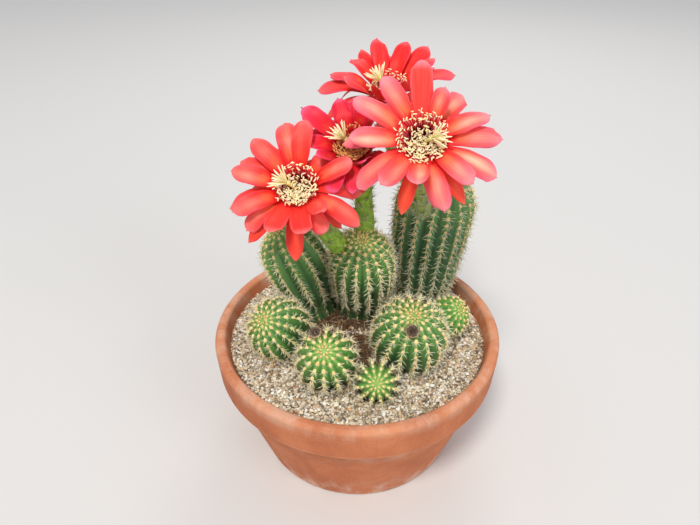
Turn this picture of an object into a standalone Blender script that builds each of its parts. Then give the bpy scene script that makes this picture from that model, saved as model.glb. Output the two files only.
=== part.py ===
# Potted cactus clump in flower: three columnar stems, five round pups and four large
# red flowers, planted in gravel-topped soil in a plain terracotta bulb pan.
# Metres, +Z up, the viewer looks along +Y. The origin is the centre of the pot's foot.
import math

import bmesh
import bpy
import numpy as np
from mathutils import Vector
from mathutils.bvhtree import BVHTree

MM = 0.001
GAP = 0.35  # mm, left between pieces that touch

# ---------------------------------------------------------------- driving dimensions, mm
POT_HEIGHT = 115.0
POT_RIM_RADIUS = 118.0
POT_RIM_BAND = 31.0  # height of the thicker band round the mouth
POT_FOOT_RADIUS = 85.0
POT_MOUTH_RADIUS = 109.0
POT_FLOOR = 9.0
DRAIN_RADIUS = 12.5
GRAVEL_TOP = 105.0
GRAVEL_DEPTH = 12.0
ROOT_CUT = -7.0  # the stems end this far below the gravel's top

# Stems: centre line from foot to apex and ribs. Heights count from the gravel's top.
# profile: (place along the centre line 0..1, radius); crown: length of the domed end.
STEMS = {
    "stem_left": dict(
        ribs=12, foot=(-31, 28, -13), apex=(-64.5, 24, 86), lean=0.25, crown=27,
        depth=0.15, turn=8,
        profile=((0, 15.5), (0.17, 17.0), (0.27, 16.5), (0.44, 22.8), (0.64, 25.7), (0.8, 25.6)),
    ),
    "stem_middle": dict(
        ribs=16, foot=(5, 33, -13), apex=(3.2, 6.5, 88), lean=0.35, crown=27,
        depth=0.15, turn=11,
        profile=((0, 21.0), (0.17, 22.3), (0.30, 21.5), (0.46, 25.2), (0.66, 26.5), (0.80, 26.4)),
    ),
    "stem_rear_right": dict(
        ribs=17, foot=(57, 52, -13), apex=(67.5, 48, 126), lean=0.3, crown=31,
        depth=0.14, turn=5,
        profile=((0, 21), (0.16, 24), (0.38, 29), (0.64, 32.0), (0.82, 32.8)),
    ),
    "pup_left": dict(
        ribs=15, foot=(-52, -5.5, -9), apex=(-73.3, -33.5, 40.4), lean=0.5, crown=25,
        depth=0.15, turn=3,
        profile=((0, 15), (0.50, 24.8), (0.60, 25.0)),
    ),
    "pup_front": dict(
        ribs=14, foot=(-22.5, -43.5, -9), apex=(-24.6, -69.1, 41.3), lean=0.5, crown=24,
        depth=0.17, turn=10,
        profile=((0, 14.5), (0.50, 23.2), (0.60, 23.5)),
    ),
    "pup_front_small": dict(
        ribs=12, foot=(15.0, -53.5, -9), apex=(12.9, -87.1, 25.6), lean=0.5, crown=16,
        depth=0.17, turn=12,
        profile=((0, 10.0), (0.60, 16.0), (0.72, 16.2)),
    ),
    "pup_right": dict(
        ribs=16, foot=(38.6, -23.5, -13), apex=(41.4, -46.0, 55.0), lean=0.5, crown=30,
        depth=0.15, turn=4,
        profile=((0, 17.5), (0.48, 29.0), (0.60, 29.3)),
    ),
    "pup_far_right": dict(
        ribs=13, foot=(66.5, 9.0, -5), apex=(83.9, -8.3, 31.4), lean=0.5, crown=17,
        depth=0.16, turn=0,
        profile=((0, 10.5), (0.50, 16.4), (0.62, 16.6)),
    ),
}

# Dried scars of earlier flowers on two of the pups: place on the pup, mm, and radius.
SCARS = {
    "flower_scar_front": dict(on="pup_front", at=(-31.0, -53.2, 42.7), radius=4.7),
    "flower_scar_right": dict(on="pup_right", at=(39.4, -56.9, 49.0), radius=5.1),
}

# Flowers. throat: centre of the tube's mouth, heights from the gravel's top; faces: the
# way the flower looks; tube: where it leaves its stem and that stem.
# A tepal row is (bearing, tilt, reach, width): bearing counts anticlockwise from the
# viewer's right, tilt is the tip's angle from the flower's axis, reach is the distance
# from the mouth's centre to the tip, mm.
FLOWERS = {
    "flower_right": dict(
        throat=(42, -20, 180), faces=(-0.110, -0.726, 0.678),
        stem="stem_rear_right", leaves=(52, 26, 104), away=(-0.35, -0.72, 0.60),
        inner=((90, 60, 52, 15), (62, 50, 38, 13), (124, 63, 50, 14), (150, 70, 54, 15),
               (180, 72, 50, 14), (232, 62, 49, 15), (263, 50, 48, 15),
               (313, 72, 47, 14), (17, 76, 46, 14)),
        middle=((50, 96, 46, 14), (92, 96, 44, 13), (138, 100, 44, 13),
                (176, 92, 55, 13), (212, 92, 54, 14), (284, 86, 50, 15),
                (332, 89, 54, 14), (358, 83, 52, 14)),
        outer=((35, 116, 46, 9), (70, 120, 42, 9), (115, 122, 42, 9), (160, 116, 44, 9),
               (200, 118, 44, 9), (252, 100, 50, 10), (304, 98, 50, 10),
               (8, 122, 45, 9)),
        style_bearing=350, style_tilt=50,
    ),
    "flower_left": dict(
        throat=(-42, -20, 145), faces=(-0.075, -0.648, 0.758),
        stem="stem_middle", leaves=(-15.5, 10, 82), away=(-0.55, -0.20, 0.80),
        inner=((81, 64, 48, 14), (132, 70, 47, 15), (206, 72, 48, 14),
               (168, 72, 47, 14), (249, 58, 47, 15),
               (281, 57, 48, 15), (308, 50, 42, 13), (17, 64, 45, 13)),
        middle=((46, 82, 38, 13), (101, 79, 50, 15), (152, 84, 47, 14),
                (192, 92, 50, 13), (220, 84, 46, 13), (300, 78, 40, 12),
                (330, 98, 51, 14), (0, 80, 46, 13)),
        outer=((22, 112, 42, 9), (116, 104, 44, 10), (64, 110, 38, 9), (174, 112, 45, 9),
               (227, 92, 50, 10), (268, 98, 50, 12), (298, 100, 36, 9),
               (322, 116, 42, 10)),
        style_bearing=165, style_tilt=54,
    ),
    "flower_middle": dict(
        throat=(-3, 0, 166), faces=(-0.15, -0.60, 0.79),
        stem="stem_middle", leaves=(5, 23, 87), away=(0.05, 0.40, 0.90),
        inner=((106, 68, 38, 14), (143, 66, 46, 14), (178, 66, 37, 13),
               (212, 50, 34, 12), (245, 70, 38, 13), (70, 50, 36, 12),
               (300, 45, 28, 11), (0, 40, 28, 11)),
        middle=((124, 84, 30, 12), (160, 88, 38, 13), (200, 76, 32, 11),
                (225, 84, 40, 13), (88, 84, 40, 12), (268, 88, 34, 11),
                (325, 60, 28, 11)),
        outer=((70, 104, 36, 9), (110, 112, 40, 9), (150, 112, 40, 9),
               (200, 114, 36, 9), (240, 116, 38, 9), (280, 128, 36, 9),
               (320, 118, 30, 9)),
        style_bearing=144, style_tilt=50,
    ),
    "flower_rear": dict(
        throat=(22, 55, 186), faces=(-0.061, -0.243, 0.968),
        stem="stem_rear_right", leaves=(48, 66, 106), away=(-0.60, 0.30, 0.74),
        inner=((98, 56, 47, 14), (66, 60, 47, 14), (22, 60, 44, 12),
               (132, 66, 42, 12), (166, 70, 46, 13), (200, 52, 40, 13),
               (250, 44, 34, 12), (300, 42, 34, 12), (350, 54, 42, 13)),
        middle=((83, 78, 47, 13), (114, 68, 48, 12), (176, 82, 53, 13),
                (220, 74, 40, 12), (275, 62, 34, 12), (325, 62, 36, 12),
                (12, 80, 54, 13), (47, 68, 53, 14)),
        outer=((60, 108, 44, 9), (105, 110, 44, 9), (150, 108, 44, 9),
               (195, 98, 49, 12), (240, 104, 38, 9), (285, 104, 36, 9),
               (335, 106, 40, 9), (20, 108, 42, 9)),
        style_bearing=152, style_tilt=38,
    ),
}
MOUTH = 13.0  # outer radius of the flower's mouth
RINGS = {"outer": (0.3, 1.5), "middle": (1.85, 3.05), "inner": (3.4, 4.6)}
START = {"outer": 78, "middle": 60, "inner": 42}  # degrees from the axis at the mouth
TEPAL_THICKNESS = 0.9
TUBE_RADII = ((0, 7.8), (0.12, 8.0), (0.30, 6.8), (0.55, 7.2), (0.82, 10.0), (1, 12.6))
CUP_DEPTH = 24.0


# ---------------------------------------------------------------- shape functions
def unit(v):
    v = np.asarray(v, float)
    return v / np.linalg.norm(v)


def eased(table, x):
    """Smooth value through (place, value) pairs, level at each pair."""
    xs = [p[0] for p in table]
    if x <= xs[0]:
        return table[0][1]
    if x >= xs[-1]:
        return table[-1][1]
    k = max(i for i in range(len(xs)) if xs[i] <= x)
    u = (x - xs[k]) / (xs[k + 1] - xs[k])
    return table[k][1] + (table[k + 1][1] - table[k][1]) * (1 - math.cos(math.pi * u)) / 2


def bezier(points, t):
    n = len(points) - 1
    return sum(
        math.comb(n, i) * (1 - t) ** (n - i) * t**i * np.asarray(p, float)
        for i, p in enumerate(points)
    )


def carried_frames(line):
    """A side direction for each point of a line, turned as little as possible."""
    tangents = np.gradient(line, axis=0)
    tangents /= np.linalg.norm(tangents, axis=1)[:, None]
    side = np.array([1.0, 0, 0])
    sides = []
    for t in tangents:
        side = unit(side - (side @ t) * t)
        sides.append(side)
    return tangents, np.array(sides)


def stem_line(spec):
    """Quadratic centre line: the foot rises more steeply than the top leans."""
    foot, apex = np.array(spec["foot"], float), np.array(spec["apex"], float)
    middle = (foot + apex) / 2
    bent = np.array([foot[0], foot[1], middle[2]])
    knee = middle + (bent - middle) * (1 - spec["lean"]) * 0.6
    return [foot, knee, apex]


def stem_rows(spec, side_rows, crown_rows):
    """(place along the centre line, radius) rows from the foot to just below the apex."""
    points = stem_line(spec)
    line = np.array([bezier(points, t) for t in np.linspace(0, 1, 60)])
    length = np.linalg.norm(np.diff(line, axis=0), axis=1).sum()
    start = 1 - spec["crown"] / length
    rows = [
        (start * i / side_rows, eased(spec["profile"], start * i / side_rows))
        for i in range(side_rows + 1)
    ]
    full = rows[-1][1]
    for i in range(1, crown_rows):
        a = math.pi / 2 * i / crown_rows
        rows.append((start + (1 - start) * math.sin(a), full * math.cos(a) ** 0.92))
    return points, rows


def stem_mesh(spec, side_rows=6, crown_rows=4, per_rib=2, grow=0.0):
    """Closed ribbed body: vertices and faces, mm, heights from the gravel's top."""
    points, rows = stem_rows(spec, side_rows, crown_rows)
    places = [r[0] for r in rows] + [1.0]
    line = np.array([bezier(points, t) for t in places])
    tangents, sides = carried_frames(line)
    line[-1] += tangents[-1] * grow
    line[0] -= tangents[0] * grow
    around = spec["ribs"] * per_rib
    verts, faces = [], []
    for k, (place, radius) in enumerate(rows):
        side, over = sides[k], np.cross(tangents[k], sides[k])
        for j in range(around):
            angle = 2 * math.pi * j / around + math.radians(spec["turn"])
            groove = 1 - abs(math.cos(math.pi * j / per_rib)) ** 0.8
            depth = spec["depth"] * min(1.0, 0.55 + 1.5 * place)
            r = radius * (1 - depth * groove) + grow
            verts.append(line[k] + r * (math.cos(angle) * side + math.sin(angle) * over))
    for k in range(len(rows) - 1):
        for j in range(around):
            a, b = k * around + j, k * around + (j + 1) % around
            faces.append((a, b, b + around, a + around))
    verts.append(line[-1])
    tip = len(verts) - 1
    last = (len(rows) - 1) * around
    for j in range(around):
        faces.append((last + j, last + (j + 1) % around, tip))
    faces.append(tuple(range(around - 1, -1, -1)))
    return np.array(verts), faces


def socket_mesh(spec, around=12):
    """A smooth round body that holds the lower half of a stem, ribs and all."""
    points, rows = stem_rows(spec, 8, 4)
    rows = [row for row in rows if row[0] < 0.75]
    line = np.array([bezier(points, row[0]) for row in rows])
    tangents, sides = carried_frames(line)
    line[0] -= tangents[0] * GAP
    verts, faces = [], []
    for k, (_, radius) in enumerate(rows):
        r = (radius + GAP + 0.15) / math.cos(math.pi / around)
        side, over = sides[k], np.cross(tangents[k], sides[k])
        for j in range(around):
            a = 2 * math.pi * j / around
            verts.append(line[k] + r * (math.cos(a) * side + math.sin(a) * over))
    for k in range(len(rows) - 1):
        for j in range(around):
            a, b = k * around + j, k * around + (j + 1) % around
            faces.append((a, b, b + around, a + around))
    last = (len(rows) - 1) * around
    faces.append(tuple(range(around - 1, -1, -1)))
    faces.append(tuple(range(last, last + around)))
    return np.array(verts), faces


def flower_frame(spec):
    """The viewer's right, up and the way the flower faces, as unit vectors."""
    w = unit(spec["faces"])
    right = np.array([1.0, 0, 0])
    u = unit(right - (right @ w) * w)
    return u, np.cross(w, u), w


def tepal_outline(s):
    """Width of a tepal along its length, 0 at the mouth and 1 at the tip."""
    body = 0.34 + 0.66 * math.sin(math.pi / 2 * min(1.0, s / 0.64)) ** 1.6
    if s > 0.74:
        body *= math.sqrt(max(0.0, 1 - ((s - 0.74) / 0.26) ** 2))
    return body


def tepal_sheets(rows, base, whorl, lengths, across, thickness=TEPAL_THICKNESS, spread=0.0):
    """Upper and lower sheet of one tepal in the flower's own frame.

    rows: (bearing, tilt, reach, width) of the tip; base: bearing where it leaves the
    ring; lengths: places along the tepal; across: number of strips."""
    bearing, tilt, reach, width = rows
    low, high = RINGS[whorl]
    a0, a1 = math.radians(base), math.radians(bearing)
    start = np.array([MOUTH * math.cos(a0), MOUTH * math.sin(a0), (low + high) / 2])
    t1 = math.radians(tilt)
    tip = reach * np.array([math.sin(t1) * math.cos(a1), math.sin(t1) * math.sin(a1), math.cos(t1)])
    lift = math.radians(START[whorl])
    lead = np.array([math.sin(lift) * math.cos(a0), math.sin(lift) * math.sin(a0), math.cos(lift)])
    knee = start + 0.48 * np.linalg.norm(tip - start) * lead
    cup = {"outer": -0.10, "middle": 0.06, "inner": 0.14}[whorl]
    upper, lower = [], []
    for s in lengths:
        p = bezier([start, knee, tip], s)
        d = unit(bezier([knee - start, tip - knee], s))
        a = a0 + ((a1 - a0 + math.pi) % (2 * math.pi) - math.pi) * s
        e = np.array([-math.sin(a), math.cos(a), 0])
        e = unit(e - (e @ d) * d)
        n = np.cross(d, e)
        half = width / 2 * max(tepal_outline(s), 0.20) + spread
        thick = thickness * (1 - 0.25 * s) + (high - low - thickness) * max(0, 1 - 4 * s)
        up, down = [], []
        for j in range(across + 1):
            t = 2 * j / across - 1
            q = p + e * half * t + n * cup * half * t * t
            up.append(q + n * thick / 2)
            down.append(q - n * thick / 2)
        upper.append(up)
        lower.append(down)
    return np.array(upper), np.array(lower)


def base_bearings(rows, least):
    """Where the tepals of a whorl leave their ring: the tips' bearings, spread apart."""
    order = sorted(range(len(rows)), key=lambda i: rows[i][0] % 360)
    a = [rows[i][0] % 360 for i in order]
    n = len(a)
    for _ in range(400):
        for i in range(n):
            j = (i + 1) % n
            gap = (a[j] - a[i]) % 360
            if gap > 180 and n > 2:
                gap -= 360
            if gap < least:
                push = (least - gap) / 2
                a[i] -= push
                a[j] += push
    return {order[i]: a[i] for i in range(n)}


def sheet_mesh(upper, lower, from_row=0):
    """Closed plate between two sheets: vertices and faces."""
    up, down = upper[from_row:], lower[from_row:]
    n, m = up.shape[:2]
    verts = np.concatenate([up.reshape(-1, 3), down.reshape(-1, 3)])
    k = n * m
    faces = []
    for i in range(n - 1):
        for j in range(m - 1):
            a = i * m + j
            faces.append((a, a + m, a + m + 1, a + 1))
            faces.append((k + a, k + a + 1, k + a + m + 1, k + a + m))
    for i in range(n - 1):
        for j, flip in ((0, False), (m - 1, True)):
            a, b = i * m + j, (i + 1) * m + j
            quad = (a, k + a, k + b, b)
            faces.append(quad[::-1] if flip else quad)
    for i, flip in ((0, True), (n - 1, False)):
        for j in range(m - 1):
            a, b = i * m + j, i * m + j + 1
            quad = (a, k + a, k + b, b)
            faces.append(quad[::-1] if flip else quad)
    return verts, faces


def placed(local, spec):
    u, v, w = flower_frame(spec)
    return np.asarray(spec["throat"], float) + local @ np.array([u, v, w])


def whorl_mesh(rows, bases, whorl, lengths, across=2):
    """One closed mesh: a ring at the mouth with its tepals grown out of it."""
    low, high = RINGS[whorl]
    inner = MOUTH - 2.0
    half = math.degrees(2.5 / MOUTH)
    order = sorted(range(len(rows)), key=lambda i: bases[i])
    stops = []  # (angle, tepal index or None for the strip that follows)
    for n, i in enumerate(order):
        here = bases[i]
        for k in range(across):
            stops.append((here - half + 2 * half * k / across, (i, k)))
        after = bases[order[(n + 1) % len(order)]] + (360 if n + 1 == len(order) else 0)
        gap = after - half - (here + half)
        parts = max(1, math.ceil(gap / 34))
        for k in range(parts):
            stops.append((here + half + gap * k / parts, None))
    count = len(stops)
    verts = []
    for angle, _ in stops:
        a = math.radians(angle)
        c, s = math.cos(a), math.sin(a)
        for r, z in ((inner, low), (inner, high), (MOUTH, high), (MOUTH, low)):
            verts.append((r * c, r * s, z))
    faces = []
    for n, (_, tepal) in enumerate(stops):
        a, b = 4 * n, 4 * ((n + 1) % count)
        faces.append((a, b, b + 1, a + 1))
        faces.append((a + 1, b + 1, b + 2, a + 2))
        faces.append((a + 3, b + 3, b, a))
        if tepal is None:
            faces.append((a + 2, b + 2, b + 3, a + 3))
    for n, (_, tepal) in enumerate(stops):
        if tepal is None or tepal[1] != 0:
            continue
        i = tepal[0]
        upper, lower = tepal_sheets(rows[i], bases[i], whorl, lengths, across)
        tops = [4 * ((n + k) % count) + 2 for k in range(across + 1)]
        lows = [4 * ((n + k) % count) + 3 for k in range(across + 1)]
        for r in range(1, len(lengths)):
            at = len(verts)
            verts.extend(map(tuple, upper[r]))
            verts.extend(map(tuple, lower[r]))
            new_tops = list(range(at, at + across + 1))
            new_lows = list(range(at + across + 1, at + 2 * across + 2))
            for k in range(across):
                faces.append((tops[k], new_tops[k], new_tops[k + 1], tops[k + 1]))
                faces.append((lows[k], lows[k + 1], new_lows[k + 1], new_lows[k]))
            faces.append((tops[0], lows[0], new_lows[0], new_tops[0]))
            faces.append((tops[-1], new_tops[-1], new_lows[-1], lows[-1]))
            tops, lows = new_tops, new_lows
        for k in range(across):
            faces.append((tops[k], lows[k], lows[k + 1], tops[k + 1]))
    return np.array(verts, float), faces


def tube_line(spec):
    """Centre line of the floral tube, from inside its stem to the mouth."""
    throat, w = np.array(spec["throat"], float), unit(spec["faces"])
    leaves, away = np.array(spec["leaves"], float), unit(spec["away"])
    reach = np.linalg.norm(throat - leaves)
    return [leaves - 4 * away, leaves + away * reach * 0.34, throat - w * reach * 0.40, throat]


def tube_mesh(spec, rows=7, around=14, cup_rows=3):
    """Closed funnel: the outside, the mouth's rim and the cup inside it."""
    points = tube_line(spec)
    places = [i / rows for i in range(rows + 1)]
    line = np.array([bezier(points, t) for t in places])
    tangents, sides = carried_frames(line)
    tangents[-1] = unit(spec["faces"])
    sides[-1] = unit(sides[-1] - (sides[-1] @ tangents[-1]) * tangents[-1])
    rings = [(line[k], sides[k], tangents[k], eased(TUBE_RADII, places[k])) for k in range(rows + 1)]
    w, throat = unit(spec["faces"]), np.array(spec["throat"], float)
    for k in range(cup_rows + 1):
        q = k / cup_rows
        deep = CUP_DEPTH * q
        radius = 11.2 - 5.6 * math.sin(math.pi / 2 * q)
        # the cup follows the tube's own bend
        near = bezier(points, 1 - deep / np.linalg.norm(np.diff([bezier(points, t) for t in np.linspace(0, 1, 30)], axis=0), axis=1).sum())
        rings.append((near, sides[-1], w, radius))
    verts, faces = [], []
    for centre, side, tangent, radius in rings:
        side = unit(side - (side @ tangent) * tangent)
        over = np.cross(tangent, side)
        for j in range(around):
            a = 2 * math.pi * j / around
            verts.append(centre + radius * (math.cos(a) * side + math.sin(a) * over))
    for k in range(len(rings) - 1):
        for j in range(around):
            a, b = k * around + j, k * around + (j + 1) % around
            faces.append((a, b, b + around, a + around))
    faces.append(tuple(range(around - 1, -1, -1)))
    last = (len(rings) - 1) * around
    faces.append(tuple(range(last, last + around)))
    return np.array(verts), faces


STAMENS = 12


def stamen_tip(i, style_bearing):
    """Place of an anther in the flower's frame: outer and inner ones alternate, and
    those beside the style lie lower."""
    a = 2 * math.pi * (i + 0.5) / STAMENS
    aside = abs((math.degrees(a) - style_bearing + 180) % 360 - 180)
    radius, height = ((15.5, 13.5), (8.5, 12.5))[i % 2]
    if aside < 76:
        radius, height = ((12.0, 8.0), (6.5, 4.5))[i % 2]
    return np.array([radius * math.cos(a), radius * math.sin(a), height])


def stamens_mesh(spec):
    """One closed mesh: a ring inside the cup with filaments that end in anthers."""
    low, high, inner, outer = -4.6, -3.4, 7.2, 8.6
    count = 2 * STAMENS
    verts, faces = [], []
    for n in range(count):
        a = 2 * math.pi * n / count
        for r, z in ((inner, low), (inner, high), (outer, high), (outer, low)):
            verts.append((r * math.cos(a), r * math.sin(a), z))
    for n in range(count):
        a, b = 4 * n, 4 * ((n + 1) % count)
        faces.append((a, b, b + 1, a + 1))
        faces.append((a + 2, b + 2, b + 3, a + 3))
        faces.append((a + 3, b + 3, b, a))
        if n % 2:
            faces.append((a + 1, b + 1, b + 2, a + 2))
    for i in range(STAMENS):
        n = 2 * i
        a, b = 4 * n, 4 * (n + 1)
        ring = [a + 1, b + 1, b + 2, a + 2]
        foot = np.mean([verts[k] for k in ring], axis=0)
        tip = stamen_tip(i, spec["style_bearing"])
        knee = foot + np.array([0, 0, 0.62 * (tip[2] - foot[2])])
        d = unit(tip - knee)
        out = unit(np.array([foot[0], foot[1], 0]))
        side = np.array([-out[1], out[0], 0])
        steps = [(knee, unit(np.array([0, 0, 1]) + d), 0.42)]
        steps += [(tip - 1.2 * d, d, 0.40), (tip, d, 0.95), (tip + 1.6 * d, d, 0.45)]
        for p, t, r in steps:
            e = unit(side - (side @ t) * t)
            f = np.cross(e, t)  # outward
            at = len(verts)
            for x, y in ((-1, -1), (1, -1), (1, 1), (-1, 1)):
                verts.append(tuple(p + r * (x * e + y * f)))
            new = [at, at + 1, at + 2, at + 3]
            for k in range(4):
                faces.append((ring[k], ring[(k + 1) % 4], new[(k + 1) % 4], new[k]))
            ring = new
        faces.append(tuple(ring))
    return np.array(verts, float), faces


LOBES = 6


def stigma_mesh(spec):
    """One closed mesh: the style from the cup's floor and its fan of stigma lobes."""
    b, t = math.radians(spec["style_bearing"]), math.radians(spec["style_tilt"])
    lean = np.array([math.sin(t) * math.cos(b), math.sin(t) * math.sin(b), math.cos(t)])
    start = np.array([0, 0, -CUP_DEPTH + 3.0])
    u, v, w = flower_frame(spec)
    # the cup's floor lies on the tube's bent centre line
    points = tube_line(spec)
    length = np.linalg.norm(np.diff([bezier(points, k) for k in np.linspace(0, 1, 30)], axis=0), axis=1).sum()
    floor = bezier(points, 1 - (CUP_DEPTH - 1.6) / length) - np.array(spec["throat"], float)
    start = np.array([floor @ u, floor @ v, floor @ w]) + np.array([0, 0, 0.6])
    head = 8.0 * lean + np.array([0, 0, 5.5])
    path = [start, np.array([0, 0, -6.0]), head - 5 * lean, head]
    count = 2 * LOBES
    rows = [(0.0, 1.3), (0.35, 1.2), (0.7, 1.2), (0.93, 1.3), (1.0, 1.9)]
    line = np.array([bezier(path, r[0]) for r in rows])
    tangents, sides = carried_frames(line)
    line = np.vstack([line, line[-1] + 1.6 * tangents[-1]])
    verts, faces = [], []
    radii = [r[1] for r in rows] + [1.9]
    for k in range(len(line)):
        m = min(k, len(rows) - 1)
        side, over = sides[m], np.cross(tangents[m], sides[m])
        for j in range(count):
            a = 2 * math.pi * j / count
            verts.append(tuple(line[k] + radii[k] * (math.cos(a) * side + math.sin(a) * over)))
    tops = len(line) - 1
    for k in range(tops):
        for j in range(count):
            if k == tops - 1 and j % 2 == 0:
                continue
            a, c = k * count + j, k * count + (j + 1) % count
            faces.append((a, c, c + count, a + count))
    faces.append(tuple(range(count - 1, -1, -1)))
    faces.append(tuple(range(tops * count, (tops + 1) * count)))
    side, over, ahead = sides[-1], np.cross(tangents[-1], sides[-1]), tangents[-1]
    for j in range(0, count, 2):
        a0 = 2 * math.pi * (j + 0.5) / count
        out = math.cos(a0) * side + math.sin(a0) * over
        round_ = -math.sin(a0) * side + math.cos(a0) * over
        k = tops - 1
        ring = [k * count + j, k * count + (j + 1) % count, tops * count + (j + 1) % count, tops * count + j]
        middle = np.mean([verts[i] for i in ring], axis=0)
        d = unit(0.55 * out + 0.84 * ahead)
        n = unit(np.cross(d, round_))
        for q, r in ((3.0, 0.75), (9.0, 0.55)):
            p = middle + q * d
            at = len(verts)
            for x, y in ((-1, -1), (1, -1), (1, 1), (-1, 1)):
                verts.append(tuple(p + r * (x * round_ + y * n)))
            new = [at, at + 1, at + 2, at + 3]
            for i in range(4):
                faces.append((ring[i], ring[(i + 1) % 4], new[(i + 1) % 4], new[i]))
            ring = new
        faces.append(tuple(ring))
    return np.array(verts, float), faces


def revolved(profile, around, closed):
    """Faces turned round the Z axis from (radius, height) points."""
    n = len(profile)
    verts = []
    for j in range(around):
        a = 2 * math.pi * j / around
        verts += [(r * math.cos(a), r * math.sin(a), z) for r, z in profile]
    faces = []
    for j in range(around):
        a, b = j * n, ((j + 1) % around) * n
        for k in range(n if closed else n - 1):
            m = (k + 1) % n
            faces.append((a + k, b + k, b + m, a + m))
    if not closed:
        faces.append(tuple(j * n for j in range(around))[::-1])
        faces.append(tuple(j * n + n - 1 for j in range(around)))
    return np.array(verts, float), faces


def wall_radius(z):
    """Inner radius of the pot at a height."""
    low, high = POT_FLOOR + 2.5, POT_HEIGHT - 2.0
    at_low, at_high = POT_FOOT_RADIUS - 6.5, POT_MOUTH_RADIUS
    return at_low + (at_high - at_low) * (z - low) / (high - low)


# ---------------------------------------------------------------- Blender objects
def clear_scene():
    for old in list(bpy.data.objects):
        bpy.data.objects.remove(old)


def material(name, colour, roughness, subsurface=0.0):
    made = bpy.data.materials.get(name) or bpy.data.materials.new(name)
    made.use_nodes = True
    shader = made.node_tree.nodes["Principled BSDF"]
    shader.inputs["Base Color"].default_value = (*colour, 1)
    shader.inputs["Roughness"].default_value = roughness
    shader.inputs["Metallic"].default_value = 0.0
    shader.inputs["Subsurface Weight"].default_value = subsurface
    made.diffuse_color = (*colour, 1)
    return made


def solid(name, verts, faces, look, lift=0.0, smooth=True):
    """An object from vertices in mm, raised by lift mm, with its normals facing out."""
    mesh = bpy.data.meshes.new(name)
    points = (np.asarray(verts, float) + np.array([0, 0, lift])) * MM
    mesh.from_pydata([tuple(map(float, p)) for p in points], [], [tuple(f) for f in faces])
    made = bpy.data.objects.new(name, mesh)
    bpy.context.scene.collection.objects.link(made)
    work = bmesh.new()
    work.from_mesh(mesh)
    bmesh.ops.recalc_face_normals(work, faces=work.faces)
    if work.calc_volume(signed=True) < 0:
        bmesh.ops.reverse_faces(work, faces=work.faces)
    work.to_mesh(mesh)
    work.free()
    if smooth:
        mesh.shade_smooth()
        mesh.set_sharp_from_angle(angle=math.radians(40))
    else:
        mesh.shade_flat()
    if look:
        mesh.materials.append(look)
    return made


def cut_level(made, height, keep_above=True):
    """Cuts a closed object level at a height, mm, and closes it."""
    work = bmesh.new()
    work.from_mesh(made.data)
    every = list(work.verts) + list(work.edges) + list(work.faces)
    done = bmesh.ops.bisect_plane(
        work, geom=every, dist=1e-7, plane_co=(0, 0, height * MM), plane_no=(0, 0, 1),
        clear_inner=keep_above, clear_outer=not keep_above,
    )
    edges = [e for e in done["geom_cut"] if isinstance(e, bmesh.types.BMEdge)]
    bmesh.ops.holes_fill(work, edges=[e for e in work.edges if e.is_boundary], sides=0)
    bmesh.ops.recalc_face_normals(work, faces=work.faces)
    if work.calc_volume(signed=True) < 0:
        bmesh.ops.reverse_faces(work, faces=work.faces)
    work.to_mesh(made.data)
    work.free()
    return len(edges)


def carve(made, cutters):
    """Takes the cutters away from an object and keeps the result as plain mesh."""
    for n, cutter in enumerate(cutters):
        step = made.modifiers.new(f"cut{n}", "BOOLEAN")
        step.operation = "DIFFERENCE"
        step.solver = "EXACT"
        step.object = cutter
    graph = bpy.context.evaluated_depsgraph_get()
    mesh = bpy.data.meshes.new_from_object(made.evaluated_get(graph))
    made.modifiers.clear()
    old = made.data
    made.data = mesh
    bpy.data.meshes.remove(old)


def drop(*objects):
    for old in objects:
        mesh = old.data
        bpy.data.objects.remove(old)
        bpy.data.meshes.remove(mesh)


# ---------------------------------------------------------------- keeping tepals apart
def tree_of(verts, faces):
    return BVHTree.FromPolygons([Vector(map(float, v)) for v in verts], [tuple(f) for f in faces])


LENGTHS = {
    "inner": (0, 0.32, 0.70, 0.92, 1.0),
    "middle": (0, 0.32, 0.70, 0.92, 1.0),
    "outer": (0, 0.42, 0.82, 1.0),
}
FINE = (0.12, 0.26, 0.40, 0.54, 0.68, 0.80, 0.90, 0.96, 1.0)


def trial(rows, base, whorl, spec, clearance):
    """A tepal without its foot, plain and finely divided, for a clearance test."""
    trees = []
    for places, across in (((0.12,) + LENGTHS[whorl][1:], 2), (FINE, 4)):
        upper, lower = tepal_sheets(rows, base, whorl, places, across, TEPAL_THICKNESS + clearance, clearance / 2)
        trees.append(tree_of(*sheet_mesh(placed(upper, spec), placed(lower, spec))))
    return trees


def collar_mesh(spec, around=16):
    """The band round a mouth that other flowers' tepals stay off."""
    verts, faces = [], []
    for z in (-4.0, 9.0):
        for j in range(around):
            a = 2 * math.pi * j / around
            verts.append((17.0 * math.cos(a), 17.0 * math.sin(a), z))
    for j in range(around):
        a, b = j, (j + 1) % around
        faces.append((a, b, b + around, a + around))
    faces.append(tuple(range(around)))
    faces.append(tuple(range(around, 2 * around)))
    return placed(np.array(verts), spec), faces


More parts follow.
